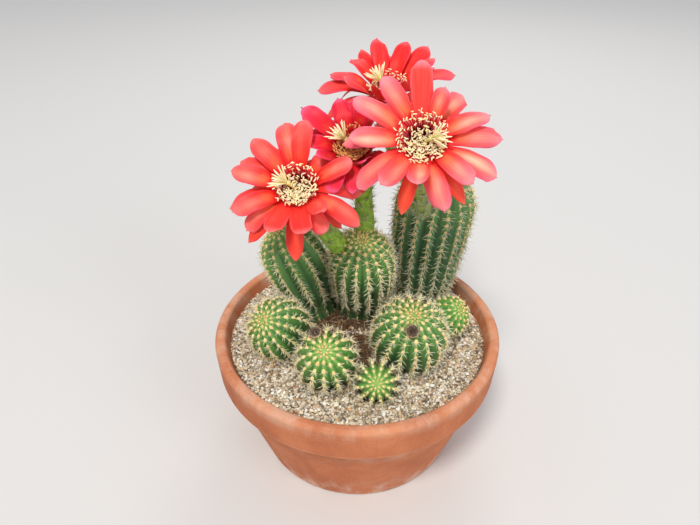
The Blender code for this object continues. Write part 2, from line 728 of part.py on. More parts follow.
def settle(obstacles):
    """Nudges each tepal as little as it takes to clear its neighbours and the stems.
    A tepal with no room left is not grown."""
    moves = sorted(
        ((dt, db, dr, dw) for dt in (0, -4, 4, -8, 8, -12, 12, -17, 17, -23, 23) for db in (0, -4, 4, -8, 8, -13, 13)
         for dr in (1.0, 0.93, 0.85, 0.76, 0.66, 0.56) for dw in (1.0, 0.88, 0.76)),
        key=lambda m: abs(m[0]) * 1.0 + abs(m[1]) * 1.1 + (1 - m[2]) * 110 + (1 - m[3]) * 14,
    )
    result = {flower: {} for flower in FLOWER_ORDER}
    trees = [(None, o, o) for o in obstacles]
    for flower in FLOWER_ORDER:
        collar = tree_of(*collar_mesh(FLOWERS[flower]))
        trees.append((flower, collar, collar))
    for whorl in ("inner", "middle", "outer"):
        for flower in FLOWER_ORDER:
            spec = FLOWERS[flower]
            bases = base_bearings(spec[whorl], 29.5)
            kept, kept_bases = [], {}
            for i, (bearing, tilt, reach, width) in enumerate(spec[whorl]):
                for dt, db, dr, dw in moves:
                    rows = (bearing + db, tilt + dt, reach * dr, width * dw)
                    plain, fine = trial(rows, bases[i], whorl, spec, 0.9)
                    if not any(
                        plain.overlap(a) or fine.overlap(b)
                        for owner, a, b in trees if owner != flower
                    ):
                        if abs(dt) + abs(db) + (1 - dr) * 60 > 9:
                            print("moved", flower, whorl, bearing, (dt, db, dr, dw))
                        kept_bases[len(kept)] = bases[i]
                        kept.append(rows)
                        trees.append((None, *trial(rows, bases[i], whorl, spec, 0.0)))
                        break
                else:
                    print("no room for", flower, whorl, bearing)
            result[flower][whorl] = (kept, kept_bases)
    return result


FLOWER_ORDER = ("flower_right", "flower_left", "flower_middle", "flower_rear")


def main():
    clear_scene()
    terracotta = material("terracotta", (0.55, 0.22, 0.11), 0.85)
    soil_look = material("soil", (0.055, 0.036, 0.024), 0.95)
    gravel_look = material("gravel", (0.46, 0.39, 0.30), 0.9)
    old_green = material("stem_green", (0.075, 0.17, 0.06), 0.5, 0.05)
    young_green = material("pup_green", (0.12, 0.27, 0.07), 0.5, 0.05)
    scar_look = material("scar", (0.17, 0.12, 0.08), 0.9)
    tube_look = material("tube_green", (0.23, 0.33, 0.06), 0.6)
    outer_look = material("tepal_outer", (0.75, 0.06, 0.03), 0.5, 0.1)
    middle_look = material("tepal_middle", (0.85, 0.09, 0.06), 0.5, 0.1)
    inner_look = material("tepal_inner", (0.92, 0.14, 0.11), 0.5, 0.1)
    stamen_look = material("stamen", (0.80, 0.62, 0.30), 0.6)
    stigma_look = material("stigma", (0.88, 0.85, 0.45), 0.55)

    # the pot, one turned body
    h, r = POT_HEIGHT, POT_RIM_RADIUS
    band = h - POT_RIM_BAND
    profile = [
        (DRAIN_RADIUS, 0), (POT_FOOT_RADIUS - 2, 0), (POT_FOOT_RADIUS, 2.0),
        (r - 7.6, band), (r - 2.4, band + 0.6), (r - 1.6, band + 3), (r, h - 3.0),
        (r - 2.2, h), (POT_MOUTH_RADIUS + 2.0, h), (POT_MOUTH_RADIUS, h - 2.0),
        (wall_radius(POT_FLOOR + 2.5), POT_FLOOR + 2.5), (wall_radius(POT_FLOOR) - 2.2, POT_FLOOR),
        (DRAIN_RADIUS, POT_FLOOR),
    ]
    solid("pot", *revolved(profile, 44, True), terracotta)

    # soil and gravel fill it, each GAP off the wall
    top, under = GRAVEL_TOP - GRAVEL_DEPTH, POT_FLOOR + GAP
    profile = [
        (wall_radius(POT_FLOOR) - 2.2 - GAP, under),
        (wall_radius(POT_FLOOR + 2.5) - GAP, POT_FLOOR + 2.5 + GAP),
        (wall_radius(top - GAP) - GAP, top - GAP),
    ]
    solid("potting_soil", *revolved(profile, 44, False), soil_look)
    profile = [
        (wall_radius(top) - GAP, top),
        (wall_radius(GRAVEL_TOP - 1) - GAP, GRAVEL_TOP - 1.0),
        (wall_radius(GRAVEL_TOP) - GAP - 1.5, GRAVEL_TOP),
    ]
    gravel = solid("gravel_top_dressing", *revolved(profile, 44, False), gravel_look, smooth=False)

    # stems and pups, cut level where they end in the gravel
    cutters, sockets, obstacles = [], [], []
    for name, spec in STEMS.items():
        big = name.startswith("stem")
        rows = dict(side_rows=6 if big else 4, crown_rows=4)
        made = solid(name, *stem_mesh(spec, **rows), old_green if big else young_green, GRAVEL_TOP)
        cut_level(made, GRAVEL_TOP + ROOT_CUT)
        cutter = solid("around_" + name, *stem_mesh(spec, grow=GAP, **rows), None, GRAVEL_TOP)
        cut_level(cutter, GRAVEL_TOP + ROOT_CUT - GAP)
        cutters.append(cutter)
        socket = solid("socket_" + name, *socket_mesh(spec), None, GRAVEL_TOP)
        cut_level(socket, GRAVEL_TOP + ROOT_CUT - GAP)
        sockets.append(socket)
        obstacles.append(tree_of(*stem_mesh(spec, grow=0.6, per_rib=2, side_rows=8, crown_rows=5)))
    carve(gravel, sockets)
    drop(*sockets)
    by_name = dict(zip(STEMS, cutters))

    # dried flower scars: low domed buttons on two pups
    for name, spec in SCARS.items():
        centre = np.array(spec["at"], float)
        body = STEMS[spec["on"]]
        foot, apex = np.array(body["foot"], float), np.array(body["apex"], float)
        along = unit(apex - foot)
        middle = apex - along * body["crown"]
        n = unit(centre - middle)
        side = unit(np.cross(n, (0, 0, 1.0)))
        over = np.cross(n, side)
        rr = spec["radius"]
        verts, faces = [], []
        around = 14
        for q, k in ((-3.0, 0.80), (1.0, 1.0), (2.2, 0.92), (2.6, 0.66), (1.5, 0.34)):
            for j in range(around):
                a = 2 * math.pi * j / around
                verts.append(centre + n * q + rr * k * (math.cos(a) * side + math.sin(a) * over))
        for k in range(4):
            for j in range(around):
                a, b = k * around + j, k * around + (j + 1) % around
                faces.append((a, b, b + around, a + around))
        faces.append(tuple(range(around - 1, -1, -1)))
        faces.append(tuple(range(4 * around, 5 * around)))
        made = solid(name, verts, faces, scar_look, GRAVEL_TOP)
        carve(made, [by_name[spec["on"]]])

    # flowers: tubes first, then the tepals that have to clear everything else
    parts = {}
    for flower, spec in FLOWERS.items():
        parts[flower] = (tube_mesh(spec), placed_mesh(stamens_mesh(spec), spec), placed_mesh(stigma_mesh(spec), spec))
        obstacles += [tree_of(*p) for p in parts[flower]]
    settled = settle(obstacles)
    for flower, spec in FLOWERS.items():
        tube, stamens, stigma = parts[flower]
        made = solid(flower + "_tube", *tube, tube_look, GRAVEL_TOP)
        carve(made, [by_name[spec["stem"]]])
        solid(flower + "_stamens", *stamens, stamen_look, GRAVEL_TOP)
        solid(flower + "_stigma", *stigma, stigma_look, GRAVEL_TOP)
        for whorl, look in (("outer", outer_look), ("middle", middle_look), ("inner", inner_look)):
            kept, bases = settled[flower][whorl]
            verts, faces = whorl_mesh(kept, bases, whorl, LENGTHS[whorl])
            solid(f"{flower}_{whorl}_tepals", placed(verts, spec), faces, look, GRAVEL_TOP)
    drop(*cutters)


def placed_mesh(mesh, spec):
    return placed(mesh[0], spec), mesh[1]


main()
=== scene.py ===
import math

import bmesh
import bpy
import numpy as np
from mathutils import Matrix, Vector
from mathutils.bvhtree import BVHTree


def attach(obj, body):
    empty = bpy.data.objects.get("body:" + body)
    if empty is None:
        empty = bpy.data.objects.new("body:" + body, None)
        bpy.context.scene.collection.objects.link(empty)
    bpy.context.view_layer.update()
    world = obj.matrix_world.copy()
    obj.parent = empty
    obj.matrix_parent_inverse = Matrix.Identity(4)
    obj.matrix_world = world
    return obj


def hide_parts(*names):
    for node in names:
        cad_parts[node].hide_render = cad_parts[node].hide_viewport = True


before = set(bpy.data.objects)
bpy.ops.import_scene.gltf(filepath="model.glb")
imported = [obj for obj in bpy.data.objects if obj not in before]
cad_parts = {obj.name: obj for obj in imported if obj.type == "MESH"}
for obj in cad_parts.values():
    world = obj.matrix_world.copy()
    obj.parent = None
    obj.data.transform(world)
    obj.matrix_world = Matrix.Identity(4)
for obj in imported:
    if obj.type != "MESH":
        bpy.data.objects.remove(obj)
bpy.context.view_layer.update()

MM = 0.001
GAP = 0.35  # mm, left between pieces that touch

# ---------------------------------------------------------------- driving dimensions, mm
POT_HEIGHT = 115.0
POT_RIM_RADIUS = 118.0
POT_RIM_BAND = 31.0  # height of the thicker band round the mouth
POT_FOOT_RADIUS = 85.0
POT_MOUTH_RADIUS = 109.0
POT_FLOOR = 9.0
DRAIN_RADIUS = 12.5
GRAVEL_TOP = 105.0
GRAVEL_DEPTH = 12.0
ROOT_CUT = -7.0  # the stems end this far below the gravel's top

# Stems: centre line from foot to apex and ribs. Heights count from the gravel's top.
# profile: (place along the centre line 0..1, radius); crown: length of the domed end.
STEMS = {
    "stem_left": dict(
        ribs=12, foot=(-31, 28, -13), apex=(-64.5, 24, 86), lean=0.25, crown=27,
        depth=0.15, turn=8,
        profile=((0, 15.5), (0.17, 17.0), (0.27, 16.5), (0.44, 22.8), (0.64, 25.7), (0.8, 25.6)),
    ),
    "stem_middle": dict(
        ribs=16, foot=(5, 33, -13), apex=(3.2, 6.5, 88), lean=0.35, crown=27,
        depth=0.15, turn=11,
        profile=((0, 21.0), (0.17, 22.3), (0.30, 21.5), (0.46, 25.2), (0.66, 26.5), (0.80, 26.4)),
    ),
    "stem_rear_right": dict(
        ribs=17, foot=(57, 52, -13), apex=(67.5, 48, 126), lean=0.3, crown=31,
        depth=0.14, turn=5,
        profile=((0, 21), (0.16, 24), (0.38, 29), (0.64, 32.0), (0.82, 32.8)),
    ),
    "pup_left": dict(
        ribs=15, foot=(-52, -5.5, -9), apex=(-73.3, -33.5, 40.4), lean=0.5, crown=25,
        depth=0.15, turn=3,
        profile=((0, 15), (0.50, 24.8), (0.60, 25.0)),
    ),
    "pup_front": dict(
        ribs=14, foot=(-22.5, -43.5, -9), apex=(-24.6, -69.1, 41.3), lean=0.5, crown=24,
        depth=0.17, turn=10,
        profile=((0, 14.5), (0.50, 23.2), (0.60, 23.5)),
    ),
    "pup_front_small": dict(
        ribs=12, foot=(15.0, -53.5, -9), apex=(12.9, -87.1, 25.6), lean=0.5, crown=16,
        depth=0.17, turn=12,
        profile=((0, 10.0), (0.60, 16.0), (0.72, 16.2)),
    ),
    "pup_right": dict(
        ribs=16, foot=(38.6, -23.5, -13), apex=(41.4, -46.0, 55.0), lean=0.5, crown=30,
        depth=0.15, turn=4,
        profile=((0, 17.5), (0.48, 29.0), (0.60, 29.3)),
    ),
    "pup_far_right": dict(
        ribs=13, foot=(66.5, 9.0, -5), apex=(83.9, -8.3, 31.4), lean=0.5, crown=17,
        depth=0.16, turn=0,
        profile=((0, 10.5), (0.50, 16.4), (0.62, 16.6)),
    ),
}

# Dried scars of earlier flowers on two of the pups: place on the pup, mm, and radius.
SCARS = {
    "flower_scar_front": dict(on="pup_front", at=(-31.0, -53.2, 42.7), radius=4.7),
    "flower_scar_right": dict(on="pup_right", at=(39.4, -56.9, 49.0), radius=5.1),
}

# Flowers. throat: centre of the tube's mouth, heights from the gravel's top; faces: the
# way the flower looks; tube: where it leaves its stem and that stem.
# A tepal row is (bearing, tilt, reach, width): bearing counts anticlockwise from the
# viewer's right, tilt is the tip's angle from the flower's axis, reach is the distance
# from the mouth's centre to the tip, mm.
FLOWERS = {
    "flower_right": dict(
        throat=(42, -20, 180), faces=(-0.110, -0.726, 0.678),
        stem="stem_rear_right", leaves=(52, 26, 104), away=(-0.35, -0.72, 0.60),
        inner=((90, 60, 52, 15), (62, 50, 38, 13), (124, 63, 50, 14), (150, 70, 54, 15),
               (180, 72, 50, 14), (232, 62, 49, 15), (263, 50, 48, 15),
               (313, 72, 47, 14), (17, 76, 46, 14)),
        middle=((50, 96, 46, 14), (92, 96, 44, 13), (138, 100, 44, 13),
                (176, 92, 55, 13), (212, 92, 54, 14), (284, 86, 50, 15),
                (332, 89, 54, 14), (358, 83, 52, 14)),
        outer=((35, 116, 46, 9), (70, 120, 42, 9), (115, 122, 42, 9), (160, 116, 44, 9),
               (200, 118, 44, 9), (252, 100, 50, 10), (304, 98, 50, 10),
               (8, 122, 45, 9)),
        style_bearing=350, style_tilt=50,
    ),
    "flower_left": dict(
        throat=(-42, -20, 145), faces=(-0.075, -0.648, 0.758),
        stem="stem_middle", leaves=(-15.5, 10, 82), away=(-0.55, -0.20, 0.80),
        inner=((81, 64, 48, 14), (132, 70, 47, 15), (206, 72, 48, 14),
               (168, 72, 47, 14), (249, 58, 47, 15),
               (281, 57, 48, 15), (308, 50, 42, 13), (17, 64, 45, 13)),
        middle=((46, 82, 38, 13), (101, 79, 50, 15), (152, 84, 47, 14),
                (192, 92, 50, 13), (220, 84, 46, 13), (300, 78, 40, 12),
                (330, 98, 51, 14), (0, 80, 46, 13)),
        outer=((22, 112, 42, 9), (116, 104, 44, 10), (64, 110, 38, 9), (174, 112, 45, 9),
               (227, 92, 50, 10), (268, 98, 50, 12), (298, 100, 36, 9),
               (322, 116, 42, 10)),
        style_bearing=165, style_tilt=54,
    ),
    "flower_middle": dict(
        throat=(-3, 0, 166), faces=(-0.15, -0.60, 0.79),
        stem="stem_middle", leaves=(5, 23, 87), away=(0.05, 0.40, 0.90),
        inner=((106, 68, 38, 14), (143, 66, 46, 14), (178, 66, 37, 13),
               (212, 50, 34, 12), (245, 70, 38, 13), (70, 50, 36, 12),
               (300, 45, 28, 11), (0, 40, 28, 11)),
        middle=((124, 84, 30, 12), (160, 88, 38, 13), (200, 76, 32, 11),
                (225, 84, 40, 13), (88, 84, 40, 12), (268, 88, 34, 11),
                (325, 60, 28, 11)),
        outer=((70, 104, 36, 9), (110, 112, 40, 9), (150, 112, 40, 9),
               (200, 114, 36, 9), (240, 116, 38, 9), (280, 128, 36, 9),
               (320, 118, 30, 9)),
        style_bearing=144, style_tilt=50,
    ),
    "flower_rear": dict(
        throat=(22, 55, 186), faces=(-0.061, -0.243, 0.968),
        stem="stem_rear_right", leaves=(48, 66, 106), away=(-0.60, 0.30, 0.74),
        inner=((98, 56, 47, 14), (66, 60, 47, 14), (22, 60, 44, 12),
               (132, 66, 42, 12), (166, 70, 46, 13), (200, 52, 40, 13),
               (250, 44, 34, 12), (300, 42, 34, 12), (350, 54, 42, 13)),
        middle=((83, 78, 47, 13), (114, 68, 48, 12), (176, 82, 53, 13),
                (220, 74, 40, 12), (275, 62, 34, 12), (325, 62, 36, 12),
                (12, 80, 54, 13), (47, 68, 53, 14)),
        outer=((60, 108, 44, 9), (105, 110, 44, 9), (150, 108, 44, 9),
               (195, 98, 49, 12), (240, 104, 38, 9), (285, 104, 36, 9),
               (335, 106, 40, 9), (20, 108, 42, 9)),
        style_bearing=152, style_tilt=38,
    ),
}
MOUTH = 13.0  # outer radius of the flower's mouth
RINGS = {"outer": (0.3, 1.5), "middle": (1.85, 3.05), "inner": (3.4, 4.6)}
START = {"outer": 78, "middle": 60, "inner": 42}  # degrees from the axis at the mouth
TEPAL_THICKNESS = 0.9
TUBE_RADII = ((0, 7.8), (0.12, 8.0), (0.30, 6.8), (0.55, 7.2), (0.82, 10.0), (1, 12.6))
CUP_DEPTH = 24.0


# ---------------------------------------------------------------- shape functions
def unit(v):
    v = np.asarray(v, float)
    return v / np.linalg.norm(v)


def eased(table, x):
    """Smooth value through (place, value) pairs, level at each pair."""
    xs = [p[0] for p in table]
    if x <= xs[0]:
        return table[0][1]
    if x >= xs[-1]:
        return table[-1][1]
    k = max(i for i in range(len(xs)) if xs[i] <= x)
    u = (x - xs[k]) / (xs[k + 1] - xs[k])
    return table[k][1] + (table[k + 1][1] - table[k][1]) * (1 - math.cos(math.pi * u)) / 2


def bezier(points, t):
    n = len(points) - 1
    return sum(
        math.comb(n, i) * (1 - t) ** (n - i) * t**i * np.asarray(p, float)
        for i, p in enumerate(points)
    )


def carried_frames(line):
    """A side direction for each point of a line, turned as little as possible."""
    tangents = np.gradient(line, axis=0)
    tangents /= np.linalg.norm(tangents, axis=1)[:, None]
    side = np.array([1.0, 0, 0])
    sides = []
    for t in tangents:
        side = unit(side - (side @ t) * t)
        sides.append(side)
    return tangents, np.array(sides)


def stem_line(spec):
    """Quadratic centre line: the foot rises more steeply than the top leans."""
    foot, apex = np.array(spec["foot"], float), np.array(spec["apex"], float)
    middle = (foot + apex) / 2
    bent = np.array([foot[0], foot[1], middle[2]])
    knee = middle + (bent - middle) * (1 - spec["lean"]) * 0.6
    return [foot, knee, apex]


def stem_rows(spec, side_rows, crown_rows):
    """(place along the centre line, radius) rows from the foot to just below the apex."""
    points = stem_line(spec)
    line = np.array([bezier(points, t) for t in np.linspace(0, 1, 60)])
    length = np.linalg.norm(np.diff(line, axis=0), axis=1).sum()
    start = 1 - spec["crown"] / length
    rows = [
        (start * i / side_rows, eased(spec["profile"], start * i / side_rows))
        for i in range(side_rows + 1)
    ]
    full = rows[-1][1]
    for i in range(1, crown_rows):
        a = math.pi / 2 * i / crown_rows
        rows.append((start + (1 - start) * math.sin(a), full * math.cos(a) ** 0.92))
    return points, rows


def stem_mesh(spec, side_rows=6, crown_rows=4, per_rib=2, grow=0.0):
    """Closed ribbed body: vertices and faces, mm, heights from the gravel's top."""
    points, rows = stem_rows(spec, side_rows, crown_rows)
    places = [r[0] for r in rows] + [1.0]
    line = np.array([bezier(points, t) for t in places])
    tangents, sides = carried_frames(line)
    line[-1] += tangents[-1] * grow
    line[0] -= tangents[0] * grow
    around = spec["ribs"] * per_rib
    verts, faces = [], []
    for k, (place, radius) in enumerate(rows):
        side, over = sides[k], np.cross(tangents[k], sides[k])
        for j in range(around):
            angle = 2 * math.pi * j / around + math.radians(spec["turn"])
            groove = 1 - abs(math.cos(math.pi * j / per_rib)) ** 0.8
            depth = spec["depth"] * min(1.0, 0.55 + 1.5 * place)
            r = radius * (1 - depth * groove) + grow
            verts.append(line[k] + r * (math.cos(angle) * side + math.sin(angle) * over))
    for k in range(len(rows) - 1):
        for j in range(around):
            a, b = k * around + j, k * around + (j + 1) % around
            faces.append((a, b, b + around, a + around))
    verts.append(line[-1])
    tip = len(verts) - 1
    last = (len(rows) - 1) * around
    for j in range(around):
        faces.append((last + j, last + (j + 1) % around, tip))
    faces.append(tuple(range(around - 1, -1, -1)))
    return np.array(verts), faces


def flower_frame(spec):
    """The viewer's right, up and the way the flower faces, as unit vectors."""
    w = unit(spec["faces"])
    right = np.array([1.0, 0, 0])
    u = unit(right - (right @ w) * w)
    return u, np.cross(w, u), w


def tepal_outline(s):
    """Width of a tepal along its length, 0 at the mouth and 1 at the tip."""
    body = 0.34 + 0.66 * math.sin(math.pi / 2 * min(1.0, s / 0.64)) ** 1.6
    if s > 0.74:
        body *= math.sqrt(max(0.0, 1 - ((s - 0.74) / 0.26) ** 2))
    return body


def tepal_sheets(rows, base, whorl, lengths, across, thickness=TEPAL_THICKNESS, spread=0.0):
    """Upper and lower sheet of one tepal in the flower's own frame.

    rows: (bearing, tilt, reach, width) of the tip; base: bearing where it leaves the
    ring; lengths: places along the tepal; across: number of strips."""
    bearing, tilt, reach, width = rows
    low, high = RINGS[whorl]
    a0, a1 = math.radians(base), math.radians(bearing)
    start = np.array([MOUTH * math.cos(a0), MOUTH * math.sin(a0), (low + high) / 2])
    t1 = math.radians(tilt)
    tip = reach * np.array([math.sin(t1) * math.cos(a1), math.sin(t1) * math.sin(a1), math.cos(t1)])
    lift = math.radians(START[whorl])
    lead = np.array([math.sin(lift) * math.cos(a0), math.sin(lift) * math.sin(a0), math.cos(lift)])
    knee = start + 0.48 * np.linalg.norm(tip - start) * lead
    cup = {"outer": -0.10, "middle": 0.06, "inner": 0.14}[whorl]
    upper, lower = [], []
    for s in lengths:
        p = bezier([start, knee, tip], s)
        d = unit(bezier([knee - start, tip - knee], s))
        a = a0 + ((a1 - a0 + math.pi) % (2 * math.pi) - math.pi) * s
        e = np.array([-math.sin(a), math.cos(a), 0])
        e = unit(e - (e @ d) * d)
        n = np.cross(d, e)
        half = width / 2 * max(tepal_outline(s), 0.20) + spread
        thick = thickness * (1 - 0.25 * s) + (high - low - thickness) * max(0, 1 - 4 * s)
        up, down = [], []
        for j in range(across + 1):
            t = 2 * j / across - 1
            q = p + e * half * t + n * cup * half * t * t
            up.append(q + n * thick / 2)
            down.append(q - n * thick / 2)
        upper.append(up)
        lower.append(down)
    return np.array(upper), np.array(lower)


def base_bearings(rows, least):
    """Where the tepals of a whorl leave their ring: the tips' bearings, spread apart."""
    order = sorted(range(len(rows)), key=lambda i: rows[i][0] % 360)
    a = [rows[i][0] % 360 for i in order]
    n = len(a)
    for _ in range(400):
        for i in range(n):
            j = (i + 1) % n
            gap = (a[j] - a[i]) % 360
            if gap > 180 and n > 2:
                gap -= 360
            if gap < least:
                push = (least - gap) / 2
                a[i] -= push
                a[j] += push
    return {order[i]: a[i] for i in range(n)}


def sheet_mesh(upper, lower, from_row=0):
    """Closed plate between two sheets: vertices and faces."""
    up, down = upper[from_row:], lower[from_row:]
    n, m = up.shape[:2]
    verts = np.concatenate([up.reshape(-1, 3), down.reshape(-1, 3)])
    k = n * m
    faces = []
    for i in range(n - 1):
        for j in range(m - 1):
            a = i * m + j
            faces.append((a, a + m, a + m + 1, a + 1))
            faces.append((k + a, k + a + 1, k + a + m + 1, k + a + m))
    for i in range(n - 1):
        for j, flip in ((0, False), (m - 1, True)):
            a, b = i * m + j, (i + 1) * m + j
            quad = (a, k + a, k + b, b)
            faces.append(quad[::-1] if flip else quad)
    for i, flip in ((0, True), (n - 1, False)):
        for j in range(m - 1):
            a, b = i * m + j, i * m + j + 1
            quad = (a, k + a, k + b, b)
            faces.append(quad[::-1] if flip else quad)
    return verts, faces


def placed(local, spec):
    u, v, w = flower_frame(spec)
    return np.asarray(spec["throat"], float) + local @ np.array([u, v, w])


def tube_line(spec):
    """Centre line of the floral tube, from inside its stem to the mouth."""
    throat, w = np.array(spec["throat"], float), unit(spec["faces"])
    leaves, away = np.array(spec["leaves"], float), unit(spec["away"])
    reach = np.linalg.norm(throat - leaves)
    return [leaves - 4 * away, leaves + away * reach * 0.34, throat - w * reach * 0.40, throat]


def tube_mesh(spec, rows=7, around=14, cup_rows=3):
    """Closed funnel: the outside, the mouth's rim and the cup inside it."""
    points = tube_line(spec)
    places = [i / rows for i in range(rows + 1)]
    line = np.array([bezier(points, t) for t in places])
    tangents, sides = carried_frames(line)
    tangents[-1] = unit(spec["faces"])
    sides[-1] = unit(sides[-1] - (sides[-1] @ tangents[-1]) * tangents[-1])
    rings = [(line[k], sides[k], tangents[k], eased(TUBE_RADII, places[k])) for k in range(rows + 1)]
    w, throat = unit(spec["faces"]), np.array(spec["throat"], float)
    for k in range(cup_rows + 1):
        q = k / cup_rows
        deep = CUP_DEPTH * q
        radius = 11.2 - 5.6 * math.sin(math.pi / 2 * q)
        # the cup follows the tube's own bend
        near = bezier(points, 1 - deep / np.linalg.norm(np.diff([bezier(points, t) for t in np.linspace(0, 1, 30)], axis=0), axis=1).sum())
        rings.append((near, sides[-1], w, radius))
    verts, faces = [], []
    for centre, side, tangent, radius in rings:
        side = unit(side - (side @ tangent) * tangent)
        over = np.cross(tangent, side)
        for j in range(around):
            a = 2 * math.pi * j / around
            verts.append(centre + radius * (math.cos(a) * side + math.sin(a) * over))
    for k in range(len(rings) - 1):
        for j in range(around):
            a, b = k * around + j, k * around + (j + 1) % around
            faces.append((a, b, b + around, a + around))
    faces.append(tuple(range(around - 1, -1, -1)))
    last = (len(rings) - 1) * around
    faces.append(tuple(range(last, last + around)))
    return np.array(verts), faces


STAMENS = 12


def stamen_tip(i, style_bearing):
    """Place of an anther in the flower's frame: outer and inner ones alternate, and
    those beside the style lie lower."""
    a = 2 * math.pi * (i + 0.5) / STAMENS
    aside = abs((math.degrees(a) - style_bearing + 180) % 360 - 180)
    radius, height = ((15.5, 13.5), (8.5, 12.5))[i % 2]
    if aside < 76:
        radius, height = ((12.0, 8.0), (6.5, 4.5))[i % 2]
    return np.array([radius * math.cos(a), radius * math.sin(a), height])


def stamens_mesh(spec):
    """One closed mesh: a ring inside the cup with filaments that end in anthers."""
    low, high, inner, outer = -4.6, -3.4, 7.2, 8.6
    count = 2 * STAMENS
    verts, faces = [], []
    for n in range(count):
        a = 2 * math.pi * n / count
        for r, z in ((inner, low), (inner, high), (outer, high), (outer, low)):
            verts.append((r * math.cos(a), r * math.sin(a), z))
    for n in range(count):
        a, b = 4 * n, 4 * ((n + 1) % count)
        faces.append((a, b, b + 1, a + 1))
        faces.append((a + 2, b + 2, b + 3, a + 3))
        faces.append((a + 3, b + 3, b, a))
        if n % 2:
            faces.append((a + 1, b + 1, b + 2, a + 2))
    for i in range(STAMENS):
        n = 2 * i
        a, b = 4 * n, 4 * (n + 1)
        ring = [a + 1, b + 1, b + 2, a + 2]
        foot = np.mean([verts[k] for k in ring], axis=0)
        tip = stamen_tip(i, spec["style_bearing"])
        knee = foot + np.array([0, 0, 0.62 * (tip[2] - foot[2])])
        d = unit(tip - knee)
        out = unit(np.array([foot[0], foot[1], 0]))
        side = np.array([-out[1], out[0], 0])
        steps = [(knee, unit(np.array([0, 0, 1]) + d), 0.42)]
        steps += [(tip - 1.2 * d, d, 0.40), (tip, d, 0.95), (tip + 1.6 * d, d, 0.45)]
        for p, t, r in steps:
            e = unit(side - (side @ t) * t)
            f = np.cross(e, t)  # outward
            at = len(verts)
            for x, y in ((-1, -1), (1, -1), (1, 1), (-1, 1)):
                verts.append(tuple(p + r * (x * e + y * f)))
            new = [at, at + 1, at + 2, at + 3]
            for k in range(4):
                faces.append((ring[k], ring[(k + 1) % 4], new[(k + 1) % 4], new[k]))
            ring = new
        faces.append(tuple(ring))
    return np.array(verts, float), faces


LOBES = 6


def stigma_mesh(spec):
    """One closed mesh: the style from the cup's floor and its fan of stigma lobes."""
    b, t = math.radians(spec["style_bearing"]), math.radians(spec["style_tilt"])
    lean = np.array([math.sin(t) * math.cos(b), math.sin(t) * math.sin(b), math.cos(t)])
    start = np.array([0, 0, -CUP_DEPTH + 3.0])
    u, v, w = flower_frame(spec)
    # the cup's floor lies on the tube's bent centre line
    points = tube_line(spec)
    length = np.linalg.norm(np.diff([bezier(points, k) for k in np.linspace(0, 1, 30)], axis=0), axis=1).sum()
    floor = bezier(points, 1 - (CUP_DEPTH - 1.6) / length) - np.array(spec["throat"], float)
    start = np.array([floor @ u, floor @ v, floor @ w]) + np.array([0, 0, 0.6])
    head = 8.0 * lean + np.array([0, 0, 5.5])
    path = [start, np.array([0, 0, -6.0]), head - 5 * lean, head]
    count = 2 * LOBES
    rows = [(0.0, 1.3), (0.35, 1.2), (0.7, 1.2), (0.93, 1.3), (1.0, 1.9)]
    line = np.array([bezier(path, r[0]) for r in rows])
    tangents, sides = carried_frames(line)
    line = np.vstack([line, line[-1] + 1.6 * tangents[-1]])
    verts, faces = [], []
    radii = [r[1] for r in rows] + [1.9]
    for k in range(len(line)):
        m = min(k, len(rows) - 1)
        side, over = sides[m], np.cross(tangents[m], sides[m])
        for j in range(count):
            a = 2 * math.pi * j / count
            verts.append(tuple(line[k] + radii[k] * (math.cos(a) * side + math.sin(a) * over)))
    tops = len(line) - 1
    for k in range(tops):
        for j in range(count):
            if k == tops - 1 and j % 2 == 0:
                continue
            a, c = k * count + j, k * count + (j + 1) % count
            faces.append((a, c, c + count, a + count))
    faces.append(tuple(range(count - 1, -1, -1)))
    faces.append(tuple(range(tops * count, (tops + 1) * count)))
    side, over, ahead = sides[-1], np.cross(tangents[-1], sides[-1]), tangents[-1]
    for j in range(0, count, 2):
        a0 = 2 * math.pi * (j + 0.5) / count
        out = math.cos(a0) * side + math.sin(a0) * over
        round_ = -math.sin(a0) * side + math.cos(a0) * over
        k = tops - 1
        ring = [k * count + j, k * count + (j + 1) % count, tops * count + (j + 1) % count, tops * count + j]
        middle = np.mean([verts[i] for i in ring], axis=0)
        d = unit(0.55 * out + 0.84 * ahead)
        n = unit(np.cross(d, round_))
        for q, r in ((3.0, 0.75), (9.0, 0.55)):
            p = middle + q * d
            at = len(verts)
            for x, y in ((-1, -1), (1, -1), (1, 1), (-1, 1)):
                verts.append(tuple(p + r * (x * round_ + y * n)))
            new = [at, at + 1, at + 2, at + 3]
            for i in range(4):
                faces.append((ring[i], ring[(i + 1) % 4], new[(i + 1) % 4], new[i]))
            ring = new
        faces.append(tuple(ring))
    return np.array(verts, float), faces


def wall_radius(z):
    """Inner radius of the pot at a height."""
    low, high = POT_FLOOR + 2.5, POT_HEIGHT - 2.0
    at_low, at_high = POT_FOOT_RADIUS - 6.5, POT_MOUTH_RADIUS
    return at_low + (at_high - at_low) * (z - low) / (high - low)


# ---------------------------------------------------------------- keeping tepals apart
def tree_of(verts, faces):
    return BVHTree.FromPolygons([Vector(map(float, v)) for v in verts], [tuple(f) for f in faces])


LENGTHS = {
    "inner": (0, 0.32, 0.70, 0.92, 1.0),
    "middle": (0, 0.32, 0.70, 0.92, 1.0),
    "outer": (0, 0.42, 0.82, 1.0),
}
FINE = (0.12, 0.26, 0.40, 0.54, 0.68, 0.80, 0.90, 0.96, 1.0)


def trial(rows, base, whorl, spec, clearance):
    """A tepal without its foot, plain and finely divided, for a clearance test."""
    trees = []
    for places, across in (((0.12,) + LENGTHS[whorl][1:], 2), (FINE, 4)):
        upper, lower = tepal_sheets(rows, base, whorl, places, across, TEPAL_THICKNESS + clearance, clearance / 2)
        trees.append(tree_of(*sheet_mesh(placed(upper, spec), placed(lower, spec))))
    return trees


